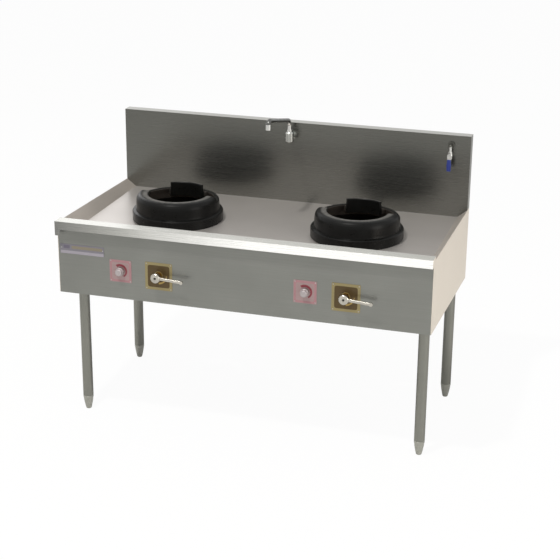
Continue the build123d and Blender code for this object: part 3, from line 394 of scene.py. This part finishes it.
def prism(name, points, front, back, material, body, ease=0.0):
    # a solid plate with the given outline in the XZ plane and its edges eased
    hard_edge = math.radians(40)
    shape = bmesh.new()
    near = [shape.verts.new((x, front, z)) for x, z in points]
    far = [shape.verts.new((x, back, z)) for x, z in points]
    shape.faces.new(near)
    shape.faces.new(far[::-1])
    for here in range(len(points)):
        after = (here + 1) % len(points)
        shape.faces.new((near[here], near[after], far[after], far[here]))
    bmesh.ops.recalc_face_normals(shape, faces=shape.faces)
    if ease:
        sharp = [edge for edge in shape.edges if edge.calc_face_angle(0) > hard_edge]
        bmesh.ops.bevel(shape, geom=sharp, offset=ease, segments=3, profile=0.5, affect="EDGES",
                        clamp_overlap=True)
    smooth(shape)
    piece = new_piece(name, shape, material, body)
    piece.data.set_sharp_from_angle(angle=hard_edge)
    return piece


# a folded tab hangs under the left end of the lip, where it covers the panel's raw edge
lip_drop, stop_deep, stop_wide = 33 * mm, 25 * mm, 21 * mm
stop_thick, stop_inset, stop_ease = 1.6 * mm, 0.2 * mm, 0.5 * mm
stop_top = deck_high.z - lip_drop
stop_front = deck_low.y + stop_inset
stop_shape = [(deck_low.x, stop_top), (deck_low.x + stop_wide, stop_top),
              (deck_low.x + stop_wide, stop_top - stop_deep), (deck_low.x, stop_top - stop_deep)]
# the tab takes the lip's finish, so it is painted the darker grey of the lip's left end
stop = prism("lip_end_stop", stop_shape, stop_front, stop_front + stop_thick, lip_finish, "range",
             stop_ease)


# ---- Wok rings --------------------------------------------------------------------------------------
# Loose cast-iron rings that stand on the deck round each burner, with a shield at the back of the lip.
# The iron is blackened with burnt oil. The flat of the lip is grey: metal rubbed bare by sliding woks,
# and painted highlight where the flat catches the light.
def second_finish(tree, where, colour, metallic, roughness):
    # lays another finish over the first one wherever the mask is 1
    shader = tree.nodes["Principled BSDF"]
    for name, value, kind in (("Base Color", linear(colour), "RGBA"), ("Metallic", metallic, "FLOAT"),
                              ("Roughness", roughness, "FLOAT")):
        socket = shader.inputs[name]
        first = socket.links[0].from_socket if socket.is_linked else socket.default_value
        blend = add(tree, "ShaderNodeMix", {"Factor": where, "A": first, "B": value}, data_type=kind)
        tree.links.new(blend.outputs["Result"], socket)


ring_iron = cast_iron("oil_blackened_cast_iron", "#0C0C0B", "#121211", 0.3, 1.6 * mm, 0.05 * mm)
tree = ring_iron.node_tree
tree.nodes["Principled BSDF"].inputs["Specular IOR Level"].default_value = 0.14
point = add(tree, "ShaderNodeTexCoord")
height = add(tree, "ShaderNodeSeparateXYZ", {"Vector": point.outputs["Object"]})
facing = add(tree, "ShaderNodeSeparateXYZ", {"Vector": point.outputs["Normal"]})

# the distance from the ring's axis: the rings stand mirrored, so the size of x serves both
ring_low, ring_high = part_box("wok_ring_right")
ring_x, ring_y = (ring_low.x + ring_high.x) / 2, (ring_low.y + ring_high.y) / 2
either = add(tree, "ShaderNodeVectorMath", {0: point.outputs["Object"]}, operation="ABSOLUTE")
flat_x = add(tree, "ShaderNodeSeparateXYZ", {"Vector": either.outputs["Vector"]})
from_x = add(tree, "ShaderNodeMath", {0: flat_x.outputs["X"], 1: ring_x}, operation="SUBTRACT")
from_y = add(tree, "ShaderNodeMath", {0: height.outputs["Y"], 1: ring_y}, operation="SUBTRACT")
across = add(tree, "ShaderNodeCombineXYZ", {"X": from_x.outputs["Value"], "Y": from_y.outputs["Value"]})
radius = add(tree, "ShaderNodeVectorMath", {0: across.outputs["Vector"]}, operation="LENGTH")

# inside the barrel the flame has burnt the oil off, and leaves a dull brown-black wall
shield_rise, lip_thick = 13 * mm, 22 * mm
lip_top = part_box("wok_ring_left")[1].z - shield_rise
bore_from, bore_to = 132 * mm, 160 * mm
past_shield = add(tree, "ShaderNodeMath", {0: radius.outputs["Value"], 1: bore_from},
                  operation="GREATER_THAN")
in_barrel = add(tree, "ShaderNodeMath", {0: radius.outputs["Value"], 1: bore_to}, operation="LESS_THAN")
wall = add(tree, "ShaderNodeMath", {0: past_shield.outputs["Value"], 1: in_barrel.outputs["Value"]},
           operation="MULTIPLY")
under_lip = add(tree, "ShaderNodeMath", {0: height.outputs["Z"], 1: lip_top - lip_thick},
                operation="LESS_THAN")
scorched = add(tree, "ShaderNodeMath", {0: wall.outputs["Value"], 1: under_lip.outputs["Value"]},
               operation="MULTIPLY")
second_finish(tree, scorched.outputs["Value"], "#332F2B", 0.0, 0.6)

# the lip is rubbed in patches where it is flat and level, and most at its inner edge, and that grey is
# also painted highlight on the faces that look up to the light
rub_deep, flat_deep, steepest, level_from = 1.6 * mm, 0.4 * mm, 0.8, 0.97
wear_from, wear_to, rub_patch = 136 * mm, 147 * mm, 18 * mm
near_top = add(tree, "ShaderNodeMapRange", {"Value": height.outputs["Z"], "From Min": lip_top - rub_deep,
                                            "From Max": lip_top - flat_deep})
flat_up = add(tree, "ShaderNodeMapRange", {"Value": facing.outputs["Z"], "From Min": steepest,
                                           "From Max": level_from})
on_lip = add(tree, "ShaderNodeMath", {0: near_top.outputs["Result"], 1: flat_up.outputs["Result"]},
             operation="MULTIPLY")
inner_edge = add(tree, "ShaderNodeMapRange", {"Value": radius.outputs["Value"], "From Min": wear_from,
                                              "From Max": wear_to, "To Min": 1.0, "To Max": 0.0})
worn_lit_edge = add(tree, "ShaderNodeMath", {0: on_lip.outputs["Value"], 1: inner_edge.outputs["Result"]},
                operation="MULTIPLY")
rub = add(tree, "ShaderNodeTexNoise", {"Vector": point.outputs["Object"], "Scale": 1 / rub_patch,
                                       "Detail": 3.0})
patchy = add(tree, "ShaderNodeMapRange", {"Value": rub.outputs["Fac"], "From Min": 0.3, "From Max": 0.6,
                                          "To Min": 0.45, "To Max": 1.0})
rubbed_and_lit = add(tree, "ShaderNodeMath", {0: worn_lit_edge.outputs["Value"], 1: patchy.outputs["Result"]},
             operation="MULTIPLY")
# the grey lip band: rubbed metal and painted highlight
second_finish(tree, rubbed_and_lit.outputs["Value"], "#7E7C78", 0.7, 0.36)
dress(ring_iron, *pair("wok_ring"))


# ---- Splashback -------------------------------------------------------------------------------------
# A folded stainless upstand behind the deck, stiffened by two hat ribs at the back.
# Its satin face is smooth enough to mirror the rings as soft dark patches.
splash_finish = brushed("satin_splash_steel", "#696965", 0.87, 0.25, "X", 0.97, 1.02, 0.02)
# the top fold is painted as a bright line: painted highlight where the fold catches the light
edge_highlight_finish = brushed("top_edge_painted_highlight", "#A6A6A2", 0.3, 0.4, "X", 0.97, 1.02, 0.02)
splash_bend, on_edge, edge_slack = 0.8 * mm, 1, 1 * mm
splash = folded("splashback", splash_bend, splash_finish)
splash.data.materials.append(edge_highlight_finish)
splash_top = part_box("splashback")[1].z
for face in splash.data.polygons:
    if face.center.z > splash_top - edge_slack:
        face.material_index = on_edge


# ---- Tap, water valve and drain ---------------------------------------------------------------------
# Chromed brass: a wall tap with a long swivel spout, and a quarter-turn valve with a blue sleeve.
# The waste and its strainer are pressed stainless. Hard water has spotted the chrome, so its shine
# varies.
chrome, tree, shader, place = new_material("dulled_chrome_plate", "#B4B5B1", 1.0, 0.2)
water_spots = add(tree, "ShaderNodeTexNoise", {"Vector": place, "Scale": 1 / (12 * mm), "Detail": 3.0})
shine = add(tree, "ShaderNodeMapRange", {"Value": water_spots.outputs["Fac"], "From Min": 0.3,
                                         "From Max": 0.7, "To Min": 0.16, "To Max": 0.3})
tree.links.new(shine.outputs["Result"], shader.inputs["Roughness"])
# a dipped coat dries with slow ripples and a soft gloss
sleeve, tree, shader, place = new_material("dipped_blue_vinyl", "#1C2C74", 0.0, 0.38)
ripple = add(tree, "ShaderNodeTexNoise", {"Vector": place, "Scale": 1 / (5 * mm), "Detail": 2.0})
relief = add(tree, "ShaderNodeBump", {"Height": ripple.outputs["Fac"], "Strength": 0.2,
                                      "Distance": 0.2 * mm})
shade = add(tree, "ShaderNodeMix", {"Factor": ripple.outputs["Fac"], "A": linear("#182665"),
                                    "B": linear("#223486")}, data_type="RGBA")
tree.links.new(shade.outputs["Result"], shader.inputs["Base Color"])
tree.links.new(relief.outputs["Normal"], shader.inputs["Normal"])
# pressing draws the sheet smooth, so the waste is brighter than the deck round it
pressed = brushed("pressed_stainless", "#AFAFAB", 0.85, 0.3, "XY")
dress(chrome, "tap_body")
dress(pressed, "drain_waste", "drain_strainer")

# the riser and the nozzle at its end are bright, and the long run between them has gone dull
spout_low, spout_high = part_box("tap_spout")
nozzle_wide, riser_wide, run_deep = 25 * mm, 26 * mm, 19 * mm
spout_tube = machined("satin_bent_tube", "#6A6A68", "#5A5A58", 0.34, 40 * mm)
tree = spout_tube.node_tree
part = add(tree, "ShaderNodeSeparateXYZ", {"Vector": add(tree, "ShaderNodeTexCoord").outputs["Object"]})
nozzle = add(tree, "ShaderNodeMath", {0: part.outputs["Y"], 1: spout_low.y + nozzle_wide},
             operation="LESS_THAN")
riser = add(tree, "ShaderNodeMath", {0: part.outputs["Y"], 1: spout_high.y - riser_wide},
            operation="GREATER_THAN")
upright = add(tree, "ShaderNodeMath", {0: nozzle.outputs["Value"], 1: riser.outputs["Value"]},
              operation="MAXIMUM")
below_run = add(tree, "ShaderNodeMath", {0: part.outputs["Z"], 1: spout_high.z - run_deep},
                operation="LESS_THAN")
bright = add(tree, "ShaderNodeMath", {0: upright.outputs["Value"], 1: below_run.outputs["Value"]},
             operation="MULTIPLY")
second_finish(tree, bright.outputs["Value"], "#D0D0CE", 1.0, 0.22)
dress(spout_tube, "tap_spout")

# the valve's turned body is bright, and its elbow, wall flange and threaded outlet are left dull; the
# outlet's dark grey is also painted shade beside the lever
valve_low, valve_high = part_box("water_valve")
flange_deep, outlet_long, elbow_high = 6 * mm, 14 * mm, 17 * mm
valve_plate = machined("plated_valve_body", "#DCDCDA", "#BEBEBB", 0.22, 12 * mm)
tree = valve_plate.node_tree
part = add(tree, "ShaderNodeSeparateXYZ", {"Vector": add(tree, "ShaderNodeTexCoord").outputs["Object"]})
flange = add(tree, "ShaderNodeMath", {0: part.outputs["Y"], 1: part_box("splashback")[0].y - flange_deep},
             operation="GREATER_THAN")
outlet = add(tree, "ShaderNodeMath", {0: part.outputs["Z"], 1: valve_low.z + outlet_long},
             operation="LESS_THAN")
elbow = add(tree, "ShaderNodeMath", {0: part.outputs["Z"], 1: valve_high.z - elbow_high},
            operation="GREATER_THAN")
ends = add(tree, "ShaderNodeMath", {0: flange.outputs["Value"], 1: outlet.outputs["Value"]},
           operation="MAXIMUM")
dull = add(tree, "ShaderNodeMath", {0: ends.outputs["Value"], 1: elbow.outputs["Value"]},
           operation="MAXIMUM")
# dull metal on the ends, and painted shade on the outlet
second_finish(tree, dull.outputs["Value"], "#5E5E59", 0.9, 0.42)
dress(valve_plate, "water_valve", "water_lever")

# the sleeve is dipped over the lower three quarters of the lever, a little thicker than the metal, and
# bulges where a finger takes it: its half widths are shares of the lever's
lever_low, lever_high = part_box("water_lever")
lever_x = (lever_low.x + lever_high.x) / 2
lever_half = (lever_high.x - lever_low.x) / 2
neck, bulge, tip = 0.82, 1.1, 0.92
nut_height, metal_thick, dip, sleeve_ease = 4 * mm, 3 * mm, 0.9 * mm, 1.2 * mm
sleeve_top, bulge_z, sleeve_low = lever_low.z + 48 * mm, lever_low.z + 24 * mm, lever_low.z - dip
sleeve_shape = [(-neck, sleeve_top), (neck, sleeve_top), (bulge, bulge_z), (tip, sleeve_low),
                (-tip, sleeve_low), (-bulge, bulge_z)]
metal_front = lever_low.y + nut_height
grip = prism("lever_sleeve", [(lever_x + reach * lever_half, z) for reach, z in sleeve_shape],
             metal_front - dip, metal_front + metal_thick + dip, sleeve, "water_lever", sleeve_ease)


# ---- Control plates ---------------------------------------------------------------------------------
# Square aluminium plates riveted behind each control: gold-anodised with a printed brown field for
# the burner valve, and rose-anodised with a red printed edge for the pilot. The dark red sweep round
# the pilot knob is painted reflection of the knob.
def strip(name, outer, inner, front, back, material, body, closed=True):
    # a thin printed layer between two outlines in the XZ plane
    shape = bmesh.new()
    rows = []
    for y in (front, back):
        rows.append([shape.verts.new((x, y, z)) for x, z in outer])
        rows.append([shape.verts.new((x, y, z)) for x, z in inner])
    count = len(outer)
    for here in range(count if closed else count - 1):
        after = (here + 1) % count
        for one, two in ((0, 1), (2, 3), (0, 2), (1, 3)):
            shape.faces.new((rows[one][here], rows[one][after], rows[two][after], rows[two][here]))
    if not closed:
        for end in (0, count - 1):
            shape.faces.new((rows[0][end], rows[1][end], rows[3][end], rows[2][end]))
    bmesh.ops.recalc_face_normals(shape, faces=shape.faces)
    return new_piece(name, shape, material, body)


def outline(x, z, reach, power=2.0, start=0.0, sweep=360.0, count=96, growth=0.0):
    # power 2 is a circle, and a high power is a square with eased corners
    points = []
    for step in range(count):
        share = step / (count if sweep >= 360 else count - 1)
        angle = math.radians(start + sweep * share)
        cos, sin = math.cos(angle), math.sin(angle)
        size = (reach + growth * share) / (abs(cos) ** power + abs(sin) ** power) ** (1 / power)
        points.append((x + size * cos, z + size * sin))
    return points


def printed(name, colour, metallic, roughness):
    # screen ink: flat and even, with a faint orange-peel in the lacquer
    made, tree, shader, place = new_material(name, colour, metallic, roughness)
    peel = add(tree, "ShaderNodeTexNoise", {"Vector": place, "Scale": 1 / (1.5 * mm), "Detail": 2.0})
    base = Vector(linear(colour)[:3])
    shade = add(tree, "ShaderNodeMix", {"Factor": peel.outputs["Fac"], "A": [*(base * 0.9), 1.0],
                                        "B": [*(base * 1.1), 1.0]}, data_type="RGBA")
    relief = add(tree, "ShaderNodeBump", {"Height": peel.outputs["Fac"], "Strength": 0.1,
                                          "Distance": 0.05 * mm})
    tree.links.new(shade.outputs["Result"], shader.inputs["Base Color"])
    tree.links.new(relief.outputs["Normal"], shader.inputs["Normal"])
    return made


# anodising keeps the sheet's grain but dulls its shine to a soft colour
gold = brushed("gold_anodised_aluminium", "#918560", 0.6, 0.36, "X")
rose = brushed("rose_anodised_aluminium", "#9F8888", 0.5, 0.38, "X")
brown_ink = printed("brown_screen_ink", "#4E3D1E", 0.25, 0.34)
gold_ink = printed("gold_screen_ink", "#A68C50", 0.4, 0.36)
pink_ink = printed("pink_screen_ink", "#A0757A", 0.0, 0.42)
# the dark red ink draws the pilot sweep, a painted reflection of the knob
knob_reflection_ink = printed("dark_red_ink_painted_reflection", "#7E303A", 0.0, 0.42)
dress(gold, "main_plates")
dress(rose, "pilot_plates")
square = 14.0
ink = 0.12 * mm
# margins from the plates' edges, and the radii of the sweeps' two edges, which widen along their turn
field_margin, field_hole = 11 * mm, 17 * mm
edge_outer, edge_inner = 2 * mm, 10 * mm
main_outer, main_inner, main_outer_growth, main_inner_growth = 33 * mm, 31 * mm, 4 * mm, -2 * mm
pilot_outer, pilot_inner, pilot_outer_growth, pilot_inner_growth = 27 * mm, 21 * mm, 3 * mm, -1 * mm
main_arc = {"start": 0, "sweep": -90, "count": 32}
pilot_arc = {"start": -60, "sweep": 190, "count": 48}
plate_low, plate_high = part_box("main_plates")
pilot_low, pilot_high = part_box("pilot_plates")
plate_face = plate_low.y
main_half = (plate_high.z - plate_low.z) / 2
main_middle = (plate_high.z + plate_low.z) / 2
pilot_half = (pilot_high.z - pilot_low.z) / 2
for side in sides:
    low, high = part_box("main_spindle_" + side)
    x, z = (low.x + high.x) / 2, (low.z + high.z) / 2
    field = strip("main_field_" + side, outline(x, main_middle, main_half - field_margin, square),
                  outline(x, z, field_hole), plate_face - ink, plate_face, brown_ink, "range")
    main_sweep = strip("main_sweep_" + side,
                       outline(x, z, main_outer, growth=main_outer_growth, **main_arc),
                       outline(x, z, main_inner, growth=main_inner_growth, **main_arc),
                       plate_face - 2 * ink, plate_face - ink, gold_ink, "range", False)
    low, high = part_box("pilot_valve_" + side)
    x = (low.x + high.x) / 2
    edge = strip("pilot_edge_" + side, outline(x, z, pilot_half - edge_outer, square),
                 outline(x, z, pilot_half - edge_inner, square), plate_face - ink, plate_face,
                 pink_ink, "range")
    # the pilot's dark red sweep is painted reflection: the knob's dark mirror image on the plate, drawn
    # as ink
    pilot_reflection_sweep = strip("pilot_reflection_sweep_" + side,
                        outline(x, z, pilot_outer, growth=pilot_outer_growth, **pilot_arc),
                        outline(x, z, pilot_inner, growth=pilot_inner_growth, **pilot_arc),
                        plate_face - 2 * ink, plate_face - ink, knob_reflection_ink, "range", False)


# ---- Name plate and rivets --------------------------------------------------------------------------
# A bare aluminium plate in the maker's usual place, with nothing on it but plain printed bands.
# All plates are held by small domed aluminium rivets.
blank = brushed("blank_name_plate", "#7D7A82", 0.4, 0.4, "X")
ochre_ink = printed("ochre_screen_ink", "#7F7767", 0.1, 0.42)
lilac_ink = printed("lilac_screen_ink", "#98939C", 0.1, 0.42)
violet_ink = printed("violet_grey_screen_ink", "#625D6B", 0.1, 0.42)
dress(blank, "name_plate")
name_low, name_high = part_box("name_plate")
margin, strip_drop = 7 * mm, 9 * mm
band_left, band_right = name_low.x + margin, name_high.x - margin
band_wide = (band_right - band_left) / mm
# in mm: each band's lower and upper edge above the plate's foot, then its ends from the left margin
bands = (("name_band_upper", ochre_ink, 12, 24, 42, band_wide),
         ("name_band_lower", lilac_ink, -9, 3, -5, band_wide + 5),
         ("name_patch", violet_ink, 12, 26, 8, 34))
for name, material, low, high, start, end in bands:
    corners_of_band = [(band_left + start * mm, name_low.z + low * mm),
                       (band_left + end * mm, name_low.z + low * mm),
                       (band_left + end * mm, name_low.z + high * mm),
                       (band_left + start * mm, name_low.z + high * mm)]
    band = prism(name, corners_of_band, name_low.y - ink, name_low.y, material, "range")
# a strip of the same sheet under the plate carries the lower band
strip_shape = [(name_low.x, name_low.z - strip_drop), (name_high.x, name_low.z - strip_drop),
               (name_high.x, name_low.z), (name_low.x, name_low.z)]
backing = prism("name_strip", strip_shape, name_low.y, name_high.y, blank, "range")
# small bright heads: the dome catches the lamp as a point
rivet_finish = machined("domed_aluminium_rivet", "#C4C4C2", "#A2A2A0", 0.3, 8 * mm)
dress(rivet_finish, "plate_rivets", "panel_screws", "socket_screws")


# ---- Levers and knobs -------------------------------------------------------------------------------
# Each burner valve has a chromed lever on a round hub, and each pilot a fluted knob of satin metal.
# A screw in the middle holds the lever. Chrome over a ground casting stays satin, tool marks dull the
# knob, and blacking darkens the screw.
lever_finish = machined("satin_chrome_lever", "#C4C0B8", "#A8A49C", 0.28, 25 * mm)
knob_finish = brushed("satin_metal_knob", "#ADA5A6", 0.4, 0.5, "XY")
screw_finish = machined("blacked_screw", "#4A4A48", "#3A3A38", 0.4, 4 * mm)
dress(knob_finish, *pair("pilot_knob"))


def screw_head(name, x, z, front, radius, material, body):
    # round head with a straight slot, built as a disc with two half discs on it
    slot, deep, ease, around = radius * 0.24, radius * 0.4, radius * 0.06, 32
    disc = [(x + radius * math.cos(math.tau * step / around),
             z + radius * math.sin(math.tau * step / around)) for step in range(around)]
    pieces = [prism(name, disc, front + deep, front + deep * 2, material, body)]
    start = math.asin(slot / radius)
    for way in (-1, 1):
        half = []
        for step in range(around // 2 + 1):
            angle = start + (math.pi - 2 * start) * step / (around // 2)
            half.append((x + radius * math.cos(angle), z + way * radius * math.sin(angle)))
        pieces.append(prism(name + "_half", half, front, front + deep, material, body, ease))
    whole = bmesh.new()
    for piece in pieces:
        whole.from_mesh(piece.data)
    whole.to_mesh(pieces[0].data)
    whole.free()
    for piece in pieces[1:]:
        bpy.data.objects.remove(piece)
    return pieces[0]


# the middle of each hub is bored to take the screw, whose head sits below the face
bore, bore_deep, bore_step, casting_round = 5 * mm, 2.4 * mm, 0.01 * mm, 0.4 * mm
screw_radius, screw_sink, face_slack = 4.2 * mm, 0.6 * mm, 0.1 * mm
for side in sides:
    lever = folded("main_lever_" + side, casting_round, lever_finish, "main_lever_" + side, "_casting")
    low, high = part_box("main_lever_" + side)
    spindle_low, spindle_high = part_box("main_spindle_" + side)
    x, z = (spindle_low.x + spindle_high.x) / 2, (spindle_low.z + spindle_high.z) / 2
    shape = bmesh.new()
    shape.from_mesh(lever.data)
    front = [face for face in shape.faces
             if face.normal.y < -0.99 and face.calc_center_median().y < low.y + face_slack]
    reach = max(math.hypot(corner.co.x - x, corner.co.z - z) for face in front for corner in face.verts)
    bmesh.ops.inset_region(shape, faces=front, thickness=reach - bore, use_even_offset=True)
    bmesh.ops.inset_region(shape, faces=front, thickness=bore_step, depth=-bore_deep,
                           use_even_offset=True)
    shape.to_mesh(lever.data)
    shape.free()
    screw = screw_head("hub_screw_" + side, x, z, low.y + screw_sink, screw_radius, screw_finish,
                       "main_lever_" + side)


# ---- Floor, light and camera ------------------------------------------------------------------------
# A pale floor and a white surround. One small lamp high at the front left makes the spout's shadow,
# and two weaker and wider ones lift the rear legs and the right side.
floor_reach = 15.0
mesh = bpy.data.meshes.new("floor")
mesh.from_pydata([(-floor_reach, -floor_reach, 0), (floor_reach, -floor_reach, 0),
                  (floor_reach, floor_reach, 0), (-floor_reach, floor_reach, 0)], [], [(0, 1, 2, 3)])
floor = bpy.data.objects.new("floor", mesh)
bpy.context.scene.collection.objects.link(floor)
# to the camera the floor is nearly pure white, and the twentieth of paint left in it takes the shadows
floor_paint, tree, shader, place = new_material("pale_floor", "#F4F4F2", 0.0, 0.9)
shader.inputs["Specular IOR Level"].default_value = 0.1
camera_ray = add(tree, "ShaderNodeLightPath").outputs["Is Camera Ray"]
glow = add(tree, "ShaderNodeMath", {0: camera_ray, 1: 0.95}, operation="MULTIPLY")
white = add(tree, "ShaderNodeEmission", {"Color": (1, 1, 1, 1), "Strength": 1.0})
both = add(tree, "ShaderNodeMixShader", {0: glow.outputs["Value"], 1: shader.outputs["BSDF"],
                                         2: white.outputs["Emission"]})
tree.links.new(both.outputs["Shader"], tree.nodes["Material Output"].inputs["Surface"])
mesh.materials.append(floor_paint)

# the surround is white to the camera and in reflections, and lights the range at about half of that
world = bpy.data.worlds.new("white_surround")
world.use_nodes = True
bpy.context.scene.world = world
tree = world.node_tree
ways = add(tree, "ShaderNodeLightPath")
mirrored = add(tree, "ShaderNodeMath", {0: ways.outputs["Is Camera Ray"],
                                        1: ways.outputs["Is Glossy Ray"]}, operation="MAXIMUM")
seen = add(tree, "ShaderNodeMath", {0: mirrored.outputs["Value"],
                                    1: ways.outputs["Is Transmission Ray"]}, operation="MAXIMUM")
level = add(tree, "ShaderNodeMix", {"Factor": seen.outputs["Value"], "A": (0.55, 0.55, 0.55, 1),
                                    "B": (1, 1, 1, 1)}, data_type="RGBA")
tree.links.new(level.outputs["Result"], tree.nodes["Background"].inputs["Color"])

aim = Vector((0, 0, 0.8))
# each lamp's place, the side of its square in metres, its watts and its colour
lamps = {
    "key_lamp": ((-0.93, -2.73, 6.0), 0.32, 230.0, "#FFFDF8"),
    "rear_left_lamp": ((-3.0, 3.6, 2.6), 1.8, 12.0, "#FFFFFF"),
    "right_fill_lamp": ((4.2, -1.6, 1.5), 2.2, 48.0, "#FFFBF4"),
}
for name, (spot, size, power, colour) in lamps.items():
    lamp = bpy.data.lights.new(name, "AREA")
    lamp.size = size
    lamp.energy = power
    lamp.color = linear(colour)[:3]
    holder = bpy.data.objects.new(name, lamp)
    holder.location = spot
    holder.rotation_euler = (aim - Vector(spot)).to_track_quat("-Z", "Y").to_euler()
    holder.visible_camera = False
    bpy.context.scene.collection.objects.link(holder)

# fitted to about seventy edge points of the photograph: metres, radians and pixels
camera_spot = Vector((1.6014, -5.2572, 2.588))
yaw, pitch, roll = 0.28612, 0.35274, 0.0099
focal_pixels, frame_pixels, sensor = 1433.5, 560, 36.0
ahead = Vector((-math.sin(yaw) * math.cos(pitch), math.cos(yaw) * math.cos(pitch), -math.sin(pitch)))
level_right = Vector((math.cos(yaw), math.sin(yaw), 0))
level_up = level_right.cross(ahead)
right = math.cos(roll) * level_right + math.sin(roll) * level_up
up = math.cos(roll) * level_up - math.sin(roll) * level_right
lens = bpy.data.cameras.new("camera")
lens.sensor_width = sensor
lens.lens = focal_pixels * sensor / frame_pixels
camera = bpy.data.objects.new("camera", lens)
axes = Matrix((right, up, -ahead)).transposed()
camera.matrix_world = Matrix.Translation(camera_spot) @ axes.to_4x4()
bpy.context.scene.collection.objects.link(camera)
bpy.context.scene.camera = camera
bpy.context.scene.view_settings.view_transform = "Standard"
